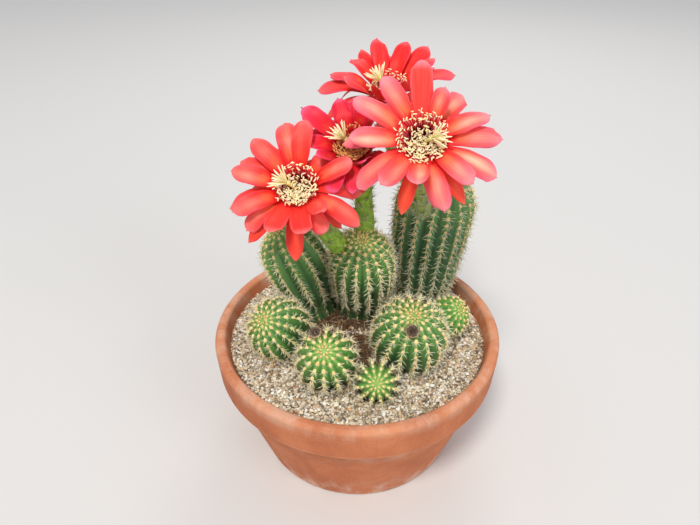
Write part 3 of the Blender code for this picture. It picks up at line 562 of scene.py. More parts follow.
def collar_mesh(spec, around=16):
    """The band round a mouth that other flowers' tepals stay off."""
    verts, faces = [], []
    for z in (-4.0, 9.0):
        for j in range(around):
            a = 2 * math.pi * j / around
            verts.append((17.0 * math.cos(a), 17.0 * math.sin(a), z))
    for j in range(around):
        a, b = j, (j + 1) % around
        faces.append((a, b, b + around, a + around))
    faces.append(tuple(range(around)))
    faces.append(tuple(range(around, 2 * around)))
    return placed(np.array(verts), spec), faces


def settle(obstacles):
    """Nudges each tepal as little as it takes to clear its neighbours and the stems.
    A tepal with no room left is not grown."""
    moves = sorted(
        ((dt, db, dr, dw) for dt in (0, -4, 4, -8, 8, -12, 12, -17, 17, -23, 23) for db in (0, -4, 4, -8, 8, -13, 13)
         for dr in (1.0, 0.93, 0.85, 0.76, 0.66, 0.56) for dw in (1.0, 0.88, 0.76)),
        key=lambda m: abs(m[0]) * 1.0 + abs(m[1]) * 1.1 + (1 - m[2]) * 110 + (1 - m[3]) * 14,
    )
    result = {flower: {} for flower in FLOWER_ORDER}
    trees = [(None, o, o) for o in obstacles]
    for flower in FLOWER_ORDER:
        collar = tree_of(*collar_mesh(FLOWERS[flower]))
        trees.append((flower, collar, collar))
    for whorl in ("inner", "middle", "outer"):
        for flower in FLOWER_ORDER:
            spec = FLOWERS[flower]
            bases = base_bearings(spec[whorl], 29.5)
            kept, kept_bases = [], {}
            for i, (bearing, tilt, reach, width) in enumerate(spec[whorl]):
                for dt, db, dr, dw in moves:
                    rows = (bearing + db, tilt + dt, reach * dr, width * dw)
                    plain, fine = trial(rows, bases[i], whorl, spec, 0.9)
                    if not any(
                        plain.overlap(a) or fine.overlap(b)
                        for owner, a, b in trees if owner != flower
                    ):
                        if abs(dt) + abs(db) + (1 - dr) * 60 > 9:
                            print("moved", flower, whorl, bearing, (dt, db, dr, dw))
                        kept_bases[len(kept)] = bases[i]
                        kept.append(rows)
                        trees.append((None, *trial(rows, bases[i], whorl, spec, 0.0)))
                        break
                else:
                    print("no room for", flower, whorl, bearing)
            result[flower][whorl] = (kept, kept_bases)
    return result


FLOWER_ORDER = ("flower_right", "flower_left", "flower_middle", "flower_rear")


def placed_mesh(mesh, spec):
    return placed(mesh[0], spec), mesh[1]



# ================================================================ the visible pieces
# Everything from here on is what is seen: the same clump at full detail, in mm from the
# pot's foot, riding on the frame's one body.

def noise_field(seed, octaves=5, scale=1.0):
    """A smooth random function of points (n, 3): a sum of sines with seeded directions."""
    rng = np.random.default_rng(seed)
    terms = []
    for o in range(octaves):
        for _ in range(4):
            d = rng.normal(size=3)
            d *= scale * 1.9**o / np.linalg.norm(d)
            terms.append((d, rng.uniform(0, 2 * math.pi), 1.0 / 1.7**o))
    top = sum(t[2] for t in terms) * 0.5

    def field(points):
        p = np.asarray(points, float)
        total = sum(a * np.sin(p @ d + phase) for d, phase, a in terms)
        return np.clip(total / top, -1.5, 1.5)

    return field


def units(v):
    return v / np.maximum(np.linalg.norm(v, axis=-1, keepdims=True), 1e-12)


def grid_faces(rows, around, closed=True):
    """Quads between rows of points, and each corner's (column, row)."""
    last = around if closed else around - 1
    i, j = np.meshgrid(np.arange(rows - 1), np.arange(last), indexing="ij")
    i, j = i.ravel(), j.ravel()
    k = (j + 1) % around
    quads = np.stack([i * around + j, i * around + k, (i + 1) * around + k, (i + 1) * around + j], 1)
    corners = np.stack([np.stack(c, -1) for c in ((j, i), (j + 1, i), (j + 1, i + 1), (j, i + 1))], 1)
    return quads, corners.astype(float)


def cells(count, tall=1.0):
    """Corner and size of equal cells that fill the unit square, with a margin."""
    across = max(1, int(math.ceil(math.sqrt(count * tall))))
    down = int(math.ceil(count / across))
    n = np.arange(count)
    at = np.stack([(n % across) / across, (n // across) / down], 1)
    size = np.array([1 / across, 1 / down])
    return at + 0.04 * size, size * 0.92


class Piece:
    """Gathers points (mm), faces, bake map and values of one visible piece."""

    def __init__(self):
        self.points, self.loops, self.sides, self.uv, self.slots, self.soft = [], [], [], [], [], []
        self.values = {}
        self.count = 0

    def add(self, points, faces, uv=None, slot=0, soft=True, flip=None, **values):
        """faces: list of index arrays (m, k); uv: list of arrays (m, k, 2) or None."""
        points = np.asarray(points, float).reshape(-1, 3)
        if flip is None:
            volume = 0.0
            for group in faces:
                g = np.asarray(group)
                for k in range(1, g.shape[1] - 1):
                    a, b, c = points[g[:, 0]], points[g[:, k]], points[g[:, k + 1]]
                    volume += np.einsum("ij,ij->", a, np.cross(b, c))
            flip = volume < 0
        for n, group in enumerate(faces):
            g = np.asarray(group)
            spots = np.zeros(g.shape + (2,)) if uv is None else np.asarray(uv[n], float)
            if flip:
                g, spots = g[:, ::-1], spots[:, ::-1]
            self.loops.append((g + self.count).ravel())
            self.sides.append(np.full(len(g), g.shape[1]))
            self.uv.append(spots.reshape(-1, 2))
            self.slots.append(np.full(len(g), slot))
            self.soft.append(np.full(len(g), soft))
        for name, value in values.items():
            value = np.asarray(value, float)
            if value.ndim == 0:
                value = np.full(len(points), float(value))
            self.values.setdefault(name, []).append((self.count, value))
        self.points.append(points)
        self.count += len(points)

    def make(self, name, looks, slot, replaces=(), mapped=True):
        mesh = bpy.data.meshes.new(name)
        points = np.concatenate(self.points) * MM
        loops, sides = np.concatenate(self.loops), np.concatenate(self.sides)
        mesh.vertices.add(len(points))
        mesh.vertices.foreach_set("co", points.ravel())
        mesh.loops.add(len(loops))
        mesh.loops.foreach_set("vertex_index", loops.astype(np.int32))
        mesh.polygons.add(len(sides))
        mesh.polygons.foreach_set("loop_start", (np.cumsum(sides) - sides).astype(np.int32))
        mesh.polygons.foreach_set("material_index", np.concatenate(self.slots).astype(np.int32))
        mesh.polygons.foreach_set("use_smooth", np.concatenate(self.soft).astype(bool))
        for key, parts in self.values.items():
            wide = parts[0][1].ndim == 2
            full = np.zeros((len(points), 4) if wide else len(points), np.float32)
            for at, value in parts:
                if wide:
                    full[at : at + len(value), :3] = value
                    full[at : at + len(value), 3] = 1
                else:
                    full[at : at + len(value)] = value
            made = mesh.attributes.new(key, "FLOAT_COLOR" if wide else "FLOAT", "POINT")
            made.data.foreach_set("color" if wide else "value", full.ravel())
        if mapped:
            layer = mesh.uv_layers.new(name="OFBake")
            layer.uv.foreach_set("vector", np.concatenate(self.uv).astype(np.float32).ravel())
        mesh.update(calc_edges=True)
        mesh.validate()
        for look in looks:
            mesh.materials.append(look)
        made = bpy.data.objects.new(name, mesh)
        bpy.context.scene.collection.objects.link(made)
        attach(made, "root")
        if replaces:
            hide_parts(*replaces)
        return made


def cell_uv(corners, size, at=(0.0, 0.0), scale=(1.0, 1.0)):
    """Corner places (m, k, 2) divided by size, put in one cell of the bake map."""
    return np.asarray(at) + corners / np.asarray(size, float) * np.asarray(scale)


def tube_faces(rows, around):
    """Faces and corner places of a closed tube: its sides and two flat ends."""
    quads, corners = grid_faces(rows, around)
    ring = np.arange(around)
    low, high = ring[::-1][None], (ring + (rows - 1) * around)[None]
    a = 2 * math.pi * ring / around
    disc = np.stack([np.cos(a), np.sin(a)], -1)
    cap = 0.5 * np.array([around, 0]) * 0 + np.array([around * 0.25, rows - 0.4]) + disc * [around * 0.2, 0.3]
    cap2 = cap + [around * 0.5, 0]
    return [quads, low, high], [corners, cap[::-1][None], cap2[None]]


def many_tubes(lines, radii, around=4, flat=None):
    """Points and faces of many thin tubes: lines (k, rows, 3), radii (k, rows)."""
    k, rows, _ = lines.shape
    tangents = units(np.gradient(lines, axis=1))
    whole = units(lines[:, -1] - lines[:, 0])
    ref = np.where(np.abs(whole[:, 2:3]) < 0.8, [[0.0, 0, 1]], [[1.0, 0, 0]])
    if flat is not None:
        ref = flat
    e = units(ref[:, None] - np.sum(ref[:, None] * tangents, -1, keepdims=True) * tangents)
    f = np.cross(tangents, e)
    a = 2 * math.pi * (np.arange(around) + 0.5) / around
    ring = e[:, :, None] * np.cos(a)[:, None] + f[:, :, None] * np.sin(a)[:, None]
    points = lines[:, :, None] + radii[:, :, None, None] * ring
    groups, corners = tube_faces(rows, around)
    shift = (np.arange(k) * rows * around)[:, None, None]
    faces = [(g[None] + shift).reshape(-1, g.shape[1]) for g in groups]
    at, size = cells(k, 3.0)
    uv = []
    for c in corners:
        spots = at[:, None, None] + c[None] / [around, rows] * size[0]
        uv.append(spots.reshape(-1, c.shape[1], 2))
    return points.reshape(-1, 3), faces, uv


# ---------------------------------------------------------------- looks
class Look:
    """A procedural material, put together node by node."""

    def __init__(self, name, roughness=0.5, **sockets):
        self.made = bpy.data.materials.new(name)
        self.made.use_nodes = True
        self.tree = self.made.node_tree
        self.shader = self.tree.nodes["Principled BSDF"]
        self.put("Roughness", roughness)
        for key, value in sockets.items():
            self.put(key.replace("_", " "), value)
        self.where = None

    def put(self, socket, value):
        self.join(value, self.shader.inputs[socket])

    def join(self, value, socket):
        if isinstance(value, bpy.types.NodeSocket):
            self.tree.links.new(value, socket)
        elif isinstance(value, (tuple, list)) and len(value) == 3 and socket.type == "RGBA":
            socket.default_value = (*value, 1)
        else:
            socket.default_value = value

    def node(self, kind, **settings):
        made = self.tree.nodes.new(kind)
        for key, value in settings.items():
            setattr(made, key, value)
        return made

    def value(self, name):
        return self.node("ShaderNodeAttribute", attribute_name=name).outputs["Fac"]

    def colour(self, name):
        return self.node("ShaderNodeAttribute", attribute_name=name).outputs["Color"]

    def place(self):
        if self.where is None:
            self.where = self.node("ShaderNodeTexCoord").outputs["Object"]
        return self.where

    def sum3(self, x, y, z):
        made = self.node("ShaderNodeCombineXYZ")
        for value, socket in zip((x, y, z), made.inputs):
            self.join(value, socket)
        return made.outputs[0]

    def noise(self, scale, detail=3.0, rough=0.55, vector=None, out="Fac", warp=0.0):
        made = self.node("ShaderNodeTexNoise")
        self.join(vector or self.place(), made.inputs["Vector"])
        made.inputs["Scale"].default_value = scale
        made.inputs["Detail"].default_value = detail
        made.inputs["Roughness"].default_value = rough
        made.inputs["Distortion"].default_value = warp
        return made.outputs[out]

    def cracks(self, scale, vector=None, feature="F1", out="Distance"):
        made = self.node("ShaderNodeTexVoronoi", feature=feature)
        self.join(vector or self.place(), made.inputs["Vector"])
        made.inputs["Scale"].default_value = scale
        return made.outputs[out]

    def maths(self, kind, a, b=0.0, c=0.0, clamp=False):
        made = self.node("ShaderNodeMath", operation=kind, use_clamp=clamp)
        for value, socket in zip((a, b, c), made.inputs):
            self.join(value, socket)
        return made.outputs[0]

    def span(self, value, low, high, to_low=0.0, to_high=1.0, smooth=True):
        made = self.node("ShaderNodeMapRange", interpolation_type="SMOOTHSTEP" if smooth else "LINEAR")
        for v, socket in zip((value, low, high, to_low, to_high), made.inputs):
            self.join(v, socket)
        return made.outputs[0]

    def ramp(self, value, stops):
        made = self.node("ShaderNodeValToRGB")
        band = made.color_ramp
        while len(band.elements) < len(stops):
            band.elements.new(0.5)
        for element, (at, colour) in zip(band.elements, stops):
            element.position = at
            element.color = (*colour, 1)
        self.join(value, made.inputs[0])
        return made.outputs[0]

    def mix(self, share, a, b, kind="MIX"):
        made = self.node("ShaderNodeMix", data_type="RGBA", blend_type=kind)
        self.join(share, made.inputs[0])
        self.join(a, made.inputs[6])
        self.join(b, made.inputs[7])
        return made.outputs[2]

    def bump(self, height, strength=0.3, distance=0.0005):
        made = self.node("ShaderNodeBump")
        made.inputs["Strength"].default_value = strength
        made.inputs["Distance"].default_value = distance
        self.join(height, made.inputs["Height"])
        self.join(made.outputs[0], self.shader.inputs["Normal"])


def srgb(*c):
    """Linear colour from 0..255 screen values."""
    c = np.asarray(c, float) / 255
    out = np.where(c <= 0.04045, c / 12.92, ((c + 0.055) / 1.055) ** 2.4)
    return tuple(float(x) for x in out)


def skin_look(name, young, middle, old, deep, corky):
    """Waxy ribbed skin: colours by height, young green at the apex to older grey-green at the foot, the brighter top
    and darker foot partly painted highlight and painted shade; painted shade in the grooves, a painted highlight on the
    crests; corky marks near the foot.
    """
    look = Look(name, 0.42, Subsurface_Weight=0.06, Specular_IOR_Level=0.42)
    look.shader.inputs["Subsurface Radius"].default_value = (0.3, 0.6, 0.2)
    look.shader.inputs["Subsurface Scale"].default_value = 0.002
    height, groove, age = look.value("height"), look.value("groove"), look.value("age")
    wobble = look.maths("MULTIPLY_ADD", look.noise(60, 3), 0.28, -0.14)
    level = look.maths("ADD", height, wobble, clamp=True)
    # colours by height: a real change from young to old green, and partly a painted highlight on the crown and painted
    # shade towards the foot
    body = look.ramp(level, ((0.0, old), (0.34, middle), (0.72, middle), (1.0, young)))
    mottle = look.noise(420, 4, 0.65)
    body = look.mix(look.span(mottle, 0.35, 0.75, 0.0, 0.35), body, tuple(min(1, c * 1.45 + 0.01) for c in middle))
    speck = look.span(look.cracks(1500), 0.0, 0.25, 0.22, 0.0)
    body = look.mix(speck, body, tuple(c * 1.8 + 0.02 for c in middle))
    # painted shade: the grooves between the ribs darkened towards the deep colour; painted highlight: the crests
    # lightened towards the young colour
    body = look.mix(look.span(groove, 0.66, 1.0, 0.0, 0.50), body, deep)
    body = look.mix(look.span(groove, 0.40, 0.0, 0.0, 0.50), body, young)
    flush = look.maths("MULTIPLY", look.span(look.noise(130, 4, 0.6), 0.46, 0.66), look.span(age, 0.35, 1.0))
    body = look.mix(look.maths("MULTIPLY", flush, 0.85), body, corky)
    look.put("Base Color", body)
    look.put("Roughness", look.span(mottle, 0.3, 0.8, 0.34, 0.52))
    look.bump(look.maths("ADD", mottle, look.maths("MULTIPLY", look.noise(2600, 2), 0.35)), 0.22, 0.0004)
    return look.made


def felt_look():
    """Felt pads: pale and woolly at the crown of the plant, tan and grey lower down."""
    look = Look("areole_felt", 0.95, Sheen_Weight=0.4)
    tint, age = look.value("tint"), look.value("age")
    young = look.mix(tint, srgb(255, 240, 168), srgb(252, 220, 136))
    used = look.mix(tint, srgb(252, 196, 112), srgb(255, 228, 156))
    old = look.mix(tint, srgb(244, 228, 194), srgb(220, 178, 120))
    body = look.mix(look.span(age, 0.30, 0.80), young, used)
    body = look.mix(look.span(age, 0.80, 0.97), body, old)
    fluff = look.noise(3800, 3, 0.7)
    body = look.mix(look.span(fluff, 0.40, 0.75, 0.0, 0.4), body, srgb(255, 246, 200))
    body = look.mix(look.span(look.value("rim"), 0.75, 1.0, 0.0, 0.5), body, srgb(172, 110, 50))
    look.put("Base Color", body)
    look.bump(fluff, 0.8, 0.0005)
    return look.made


def spine_look():
    look = Look("spine", 0.38, Subsurface_Weight=0.0, Specular_IOR_Level=0.5)
    along, age, tint = look.value("along"), look.value("age"), look.value("tint")
    young = look.mix(tint, srgb(250, 226, 140), srgb(240, 200, 108))
    used = look.mix(tint, srgb(255, 253, 226), srgb(254, 242, 194))
    old = look.mix(tint, srgb(255, 254, 228), srgb(254, 244, 202))
    body = look.mix(look.span(age, 0.06, 0.35), young, used)
    body = look.mix(look.span(age, 0.75, 0.98), body, old)
    body = look.mix(look.span(along, 0.22, 0.0, 0.0, 0.35), body, srgb(222, 160, 84))
    body = look.mix(look.span(along, 0.85, 1.0, 0.0, 0.20), body, srgb(206, 150, 90))
    body = look.mix(look.span(look.noise(700, 2), 0.4, 0.7, 0.0, 0.25), body, srgb(255, 248, 225))
    look.put("Base Color", body)
    return look.made


def petal_look(name, base, heart, streak, margin, tip, back, rim=srgb(232, 70, 150)):
    """A petal: red at its foot, a paler streak up the middle, pink margin and tip."""
    look = Look(name, 0.46, Subsurface_Weight=0.10, Specular_IOR_Level=0.24, Sheen_Weight=0.03)
    look.shader.inputs["Subsurface Radius"].default_value = (1.0, 0.35, 0.25)
    look.shader.inputs["Subsurface Scale"].default_value = 0.0016
    along, across = look.value("along"), look.value("across")
    tint, red, under = look.value("tint"), look.value("red"), look.value("under")
    edge = look.maths("ABSOLUTE", across)
    fibre = look.noise(1.0, 3, 0.6, look.sum3(
        look.maths("MULTIPLY", across, 9.0), look.maths("MULTIPLY", along, 1.1), look.maths("MULTIPLY", tint, 37.0)))
    wide = look.noise(1.0, 2, 0.5, look.sum3(
        look.maths("MULTIPLY", across, 1.4), look.maths("MULTIPLY", along, 2.2), look.maths("MULTIPLY", tint, 71.0)))
    vein = look.noise(1.0, 2, 0.5, look.sum3(
        look.maths("MULTIPLY", across, 26.0), look.maths("MULTIPLY", along, 0.7), look.maths("MULTIPLY", tint, 13.0)))
    shifted = look.maths("MULTIPLY_ADD", look.maths("SUBTRACT", wide, 0.5), 0.35, along)
    body = look.ramp(shifted, ((0.0, base), (0.20, base), (0.48, heart), (0.82, margin), (1.0, tip)))
    # the pale wash sits left or right of the middle, stronger on some petals
    aside = look.maths("SUBTRACT", look.maths("FRACT", look.maths("MULTIPLY", tint, 7.3)), 0.5)
    wash = look.span(look.maths("ABSOLUTE", look.maths("MULTIPLY_ADD", aside, 0.7, across)), 0.75, 0.0)
    wash = look.maths("MULTIPLY", wash, look.ramp(shifted, ((0.18, (0, 0, 0)), (0.44, (0.6, 0.6, 0.6)), (0.64, (1, 1, 1)), (0.96, (0.2, 0.2, 0.2)))))
    body = look.mix(look.maths("MULTIPLY", wash, look.span(tint, 0.0, 1.0, 0.35, 1.0, smooth=False)), body, streak)
    flush = look.maths("MULTIPLY", look.span(shifted, 0.16, 0.30), look.span(shifted, 0.52, 0.36))
    body = look.mix(look.maths("MULTIPLY", flush, look.span(edge, 0.8, 0.2, 0.0, 0.35)), body, srgb(255, 150, 70))
    body = look.mix(look.maths("MULTIPLY", look.span(edge, 0.74, 1.0, 0.0, 0.50), look.span(along, 0.25, 0.7)), body, look.mix(0.5, margin, rim))
    strong = look.mix(look.maths("MULTIPLY", look.span(edge, 0.72, 1.0), look.span(along, 0.25, 0.8)), heart, margin)
    strong = look.mix(look.span(along, 0.84, 1.0, 0.0, 0.85), strong, tip)
    strong = look.mix(look.span(along, 0.12, 0.0), strong, base)
    body = look.mix(red, body, strong)
    body = look.mix(look.maths("MULTIPLY", under, 0.8), body, look.mix(look.span(edge, 0.3, 1.0), back, margin))
    body = look.mix(look.span(fibre, 0.42, 0.74, 0.0, 0.16), body, tip)
    body = look.mix(look.span(fibre, 0.48, 0.22, 0.0, 0.26), body, heart)
    body = look.mix(look.span(vein, 0.50, 0.30, 0.0, 0.30), body, base)
    body = look.mix(look.span(vein, 0.55, 0.75, 0.0, 0.18), body, tip)
    look.put("Base Color", body)
    look.put("Roughness", look.span(fibre, 0.3, 0.7, 0.40, 0.55))
    look.bump(look.maths("ADD", fibre, look.maths("MULTIPLY", vein, 0.7)), 0.26, 0.0004)
    return look.made


# ---------------------------------------------------------------- ribbed stems
# step: spacing of the felt pads near the crown and lower down; pad: half length and
# half width of a pad; spine: longest spines, all mm.
HABIT = {
    "stem_left": dict(step=(5.7, 4.9), pad=(1.5, 1.15), spine=6.4, look="old"),
    "stem_middle": dict(step=(6.2, 5.2), pad=(1.5, 1.2), spine=6.9, look="old"),
    "stem_rear_right": dict(step=(6.5, 6.0), pad=(1.55, 1.3), spine=7.4, look="dark"),
    "pup_left": dict(step=(5.8, 5.2), pad=(1.7, 1.1), spine=5.8, look="pup"),
    "pup_front": dict(step=(6.8, 6.0), pad=(1.85, 1.2), spine=6.6, look="young"),
    "pup_front_small": dict(step=(5.2, 4.8), pad=(1.4, 1.0), spine=4.6, look="young"),
    "pup_right": dict(step=(6.3, 5.6), pad=(1.7, 1.2), spine=6.8, look="pup"),
    "pup_far_right": dict(step=(5.6, 5.0), pad=(1.4, 1.0), spine=4.4, look="young"),
}


class Stem:
    """The fine surface of one stem, by distance from its apex and bearing round it."""

    def __init__(self, name):
        self.name, self.spec, self.habit = name, STEMS[name], HABIT[name]
        self.seed = 100 + list(STEMS).index(name)
        length = np.linalg.norm(np.array(self.spec["apex"], float) - self.spec["foot"])
        points, rows = stem_rows(self.spec, int(length / 1.45), int(self.spec["crown"] / 1.25))
        places = np.array([r[0] for r in rows] + [1.0])
        self.radius = np.array([r[1] for r in rows] + [0.0])
        self.line = np.array([bezier(points, t) for t in places])
        tangents, sides = carried_frames(self.line)
        self.frames = (tangents, sides, np.cross(tangents, sides))
        self.depth = self.spec["depth"] * np.minimum(1.0, 0.55 + 1.5 * places)
        step = np.hypot(np.linalg.norm(np.diff(self.line, axis=0), axis=1), np.diff(self.radius))
        self.arc = np.concatenate([np.cumsum(step[::-1])[::-1], [0.0]])
        self.pads = self.place_pads()

    def at(self, arc, angle, hollow=0.0):
        """Points of the crest surface, lowered by hollow mm."""
        a = self.arc[::-1]

        def pick(values):
            v = values[::-1]
            return np.stack([np.interp(arc, a, v[:, i]) for i in range(3)], -1)

        tangent, side, over = (units(pick(v)) for v in self.frames)
        out = np.cos(angle)[:, None] * side + np.sin(angle)[:, None] * over
        radius = np.interp(arc, a, self.radius[::-1]) - hollow
        return pick(self.line) + radius[:, None] * out, out, tangent, np.cross(tangent, out)

    def place_pads(self):
        rng = np.random.default_rng(self.seed)
        ribs, near, far = self.spec["ribs"], *self.habit["step"]
        total = self.arc[0]
        found = []
        for i in range(ribs):
            here = 3.2 + 2.1 * (i % 2) + rng.uniform(-0.4, 0.4)
            while here < total - 1:
                found.append((here, 2 * math.pi * i / ribs + math.radians(self.spec["turn"]), i))
                grow = min(1.0, 0.76 + here / 46)
                step = near + (far - near) * np.clip((here - 28) / 30, 0, 1)
                here += step * grow * rng.uniform(0.93, 1.07)
        found = np.array(found)
        p, *_ = self.at(found[:, 0], found[:, 1])
        return found[p[:, 2] > 0.3]

    def skin(self):
        spec, per_rib = self.spec, 10
        around = spec["ribs"] * per_rib
        j = np.arange(around)
        phase = (j % per_rib) / per_rib
        x = np.abs(2 * ((phase + 0.5) % 1 - 0.5))
        fold = 0.5 * x + 0.5 * np.sin(math.pi / 2 * x)
        fold = fold / fold.max()
        rib = (j + per_rib // 2) // per_rib % spec["ribs"]
        angle = 2 * math.pi * j / around + math.radians(spec["turn"])
        rows = len(self.arc) - 1
        # a shallow notch under each pad and a swelling between pads
        notch = np.zeros((rows, spec["ribs"]))
        for here, _, i in self.pads:
            d = np.abs(self.arc[:rows] - here)
            notch[:, int(i)] += np.exp(-((d / 1.5) ** 2))
        swell = 0.35 - 0.75 * np.minimum(notch, 1.0)
        fade = np.clip(self.radius[:rows] / 12, 0, 1)
        wobble = noise_field(self.seed, 3, 0.09)
        tangent, side, over = (f[:rows] for f in self.frames)
        out = np.cos(angle)[None, :, None] * side[:, None] + np.sin(angle)[None, :, None] * over[:, None]
        r = self.radius[:rows, None] * (1 - (1.22 if self.big else 1.42) * self.depth[:rows, None] * fold)
        r = r + (swell * fade[:, None])[:, rib] * np.clip(1 - 2.2 * fold, 0, 1)
        points = self.line[:rows, None] + r[..., None] * out
        points += (0.28 * fade[:, None] * wobble(points.reshape(-1, 3)).reshape(rows, around))[..., None] * out
        dimple = 1.3 * np.exp(-((r / 3.4) ** 2))
        points -= dimple[..., None] * tangent[:, None]
        apex = self.line[-1] - 1.25 * self.frames[0][-1]
        quads, corners = grid_faces(rows, around)
        last = (rows - 1) * around
        fan = np.stack([last + j, last + (j + 1) % around, np.full(around, rows * around)], 1)
        ring = np.arange(around)[::-1][None]
        v = 1 - self.arc[:rows] / self.arc[0]
        size = np.array([1.0 / around, 1.0])

        def spots(c):
            high = np.interp(c[..., 1], np.arange(rows + 1), np.append(v * 0.93, 0.945))
            return np.stack([0.01 + 0.98 * c[..., 0] * size[0], 0.01 + high], -1)

        fan_spots = np.stack([
            np.stack([j, np.full(around, rows - 1)], -1), np.stack([j + 1, np.full(around, rows - 1)], -1),
            np.stack([j + 0.5, np.full(around, rows)], -1)], 1).astype(float)
        a = 2 * math.pi * np.arange(around) / around
        disc = (np.array([0.02, 0.978]) + 0.014 * np.stack([np.cos(a), np.sin(a)], -1))[::-1][None]
        piece = Piece()
        reach = 62.0 if self.big else 46.0
        height = np.repeat(np.clip(1 - self.arc[:rows] / reach, 0, 1), around)
        low = np.repeat(np.clip((self.arc[:rows] - 25) / max(20, self.arc[0] - 40), 0, 1), around)
        groove = np.tile(fold, rows)
        everything = np.vstack([points.reshape(-1, 3), apex]) + [0, 0, GRAVEL_TOP]
        piece.add(everything, [quads, fan, ring], [spots(corners), spots(fan_spots), disc],
                  height=np.append(height, 1.0), groove=np.append(groove, 0.3), age=np.append(low, 0.0))
        return piece

    @property
    def big(self):
        return self.name.startswith("stem")

    def pad_frames(self):
        """Centre, outward normal, way down the rib and sideways for each pad."""
        arc, angle = self.pads[:, 0], self.pads[:, 1]
        p, out, tangent, around = self.at(arc, angle, 0.25)
        above, *_ = self.at(np.maximum(arc - 0.7, 0), angle)
        below, *_ = self.at(arc + 0.7, angle)
        down = units(below - above)
        normal = np.cross(around, down)
        normal *= np.sign(np.sum(normal * (out + 0.7 * tangent), -1, keepdims=True))
        normal = units(normal)
        return p, normal, down, np.cross(normal, down)


def cut_foot(made, height):
    """Cuts a stem level where it ends in the gravel and closes it."""
    work = bmesh.new()
    work.from_mesh(made.data)
    every = list(work.verts) + list(work.edges) + list(work.faces)
    bmesh.ops.bisect_plane(work, geom=every, dist=1e-7, plane_co=(0, 0, height * MM), plane_no=(0, 0, 1), clear_inner=True)
    old = set(work.faces)
    bmesh.ops.holes_fill(work, edges=[e for e in work.edges if e.is_boundary], sides=0)
    new = [f for f in work.faces if f not in old]
    bmesh.ops.recalc_face_normals(work, faces=work.faces)
    layer = work.loops.layers.uv.get("OFBake")
    for face in new:
        middle = face.calc_center_median()
        wide = max((v.co - middle).length for v in face.verts)
        for loop in face.loops:
            d = (loop.vert.co - middle) / wide
            loop[layer].uv = (0.06 + 0.014 * d.x, 0.978 + 0.014 * d.y)
    work.to_mesh(made.data)
    work.free()


def pad_piece(stem):
    """Felt pads: small domes sunk in the crest of each rib."""
    rng = np.random.default_rng(stem.seed + 50)
    p, n, down, side = stem.pad_frames()
    count, around = len(p), 8
    long, wide = stem.habit["pad"]
    arc = stem.pads[:, 0]
    grow = 1.16 * np.clip(0.44 + arc / 24, 0.50, 1.0) * np.interp(arc, [0, 45, 110], [1, 0.94, 0.86]) * rng.uniform(0.86, 1.14, count)
    if stem.name in ("stem_left", "stem_middle"):
        grow = np.where(p[:, 2] < 24, 0.62, 1.0) * grow
    a = 2 * math.pi * np.arange(around) / around
    rings = ((-0.55, 0.92), (0.30, 1.0), (0.85, 0.62))
    points, rim = [], []
    for height, share in rings:
        rough = rng.uniform(0.86, 1.14, (count, around))
        x = np.cos(a)[None] * long * share * rough * grow[:, None]
        y = np.sin(a)[None] * wide * share * rough * grow[:, None]
        z = height * grow[:, None] * rng.uniform(0.85, 1.15, (count, around))
        points.append(p[:, None] + x[..., None] * down[:, None] + y[..., None] * side[:, None] + z[..., None] * n[:, None])
        rim.append(np.full((count, around), {-0.55: 1.0, 0.30: 0.8, 0.85: 0.15}[height]))
    top = (p + n * (1.0 * grow * rng.uniform(0.9, 1.2, count))[:, None])[:, None]
    points = np.concatenate(points + [top], 1)
    rim = np.concatenate(rim + [np.zeros((count, 1))], 1)
    each = points.shape[1]
    quads, corners = grid_faces(3, around)
    j = np.arange(around)
    fan = np.stack([16 + j, 16 + (j + 1) % around, np.full(around, 24)], 1)
    fan_spots = np.stack([np.stack([j, 0 * j + 2], -1), np.stack([j + 1, 0 * j + 2], -1), np.stack([j + 0.5, 0 * j + 3], -1)], 1)
    ring = j[::-1][None]
    disc = (np.array([2.0, 3.5]) + 0.42 * np.stack([np.cos(a), np.sin(a)], -1))[::-1][None]
    at, size = cells(count, 1.0)
    shift = (np.arange(count) * each)[:, None, None]
    faces = [(g[None] + shift).reshape(-1, g.shape[1]) for g in (quads, fan, ring)]
    uv = [(at[:, None, None] + c[None] / [8.0, 4.0] * size).reshape(-1, c.shape[1], 2) for c in (corners, fan_spots.astype(float), disc)]
    age = np.clip(arc / (95 if stem.big else 60), 0, 1)
    if stem.name in ("stem_left", "stem_middle"):
        age = np.where(p[:, 2] < 22, np.maximum(age, 0.97), age)
    piece = Piece()
    piece.add(points.reshape(-1, 3) + [0, 0, GRAVEL_TOP], faces, uv, tint=np.repeat(rng.uniform(0, 1, count), each),
              age=np.repeat(age, each), rim=rim.ravel())
    return piece


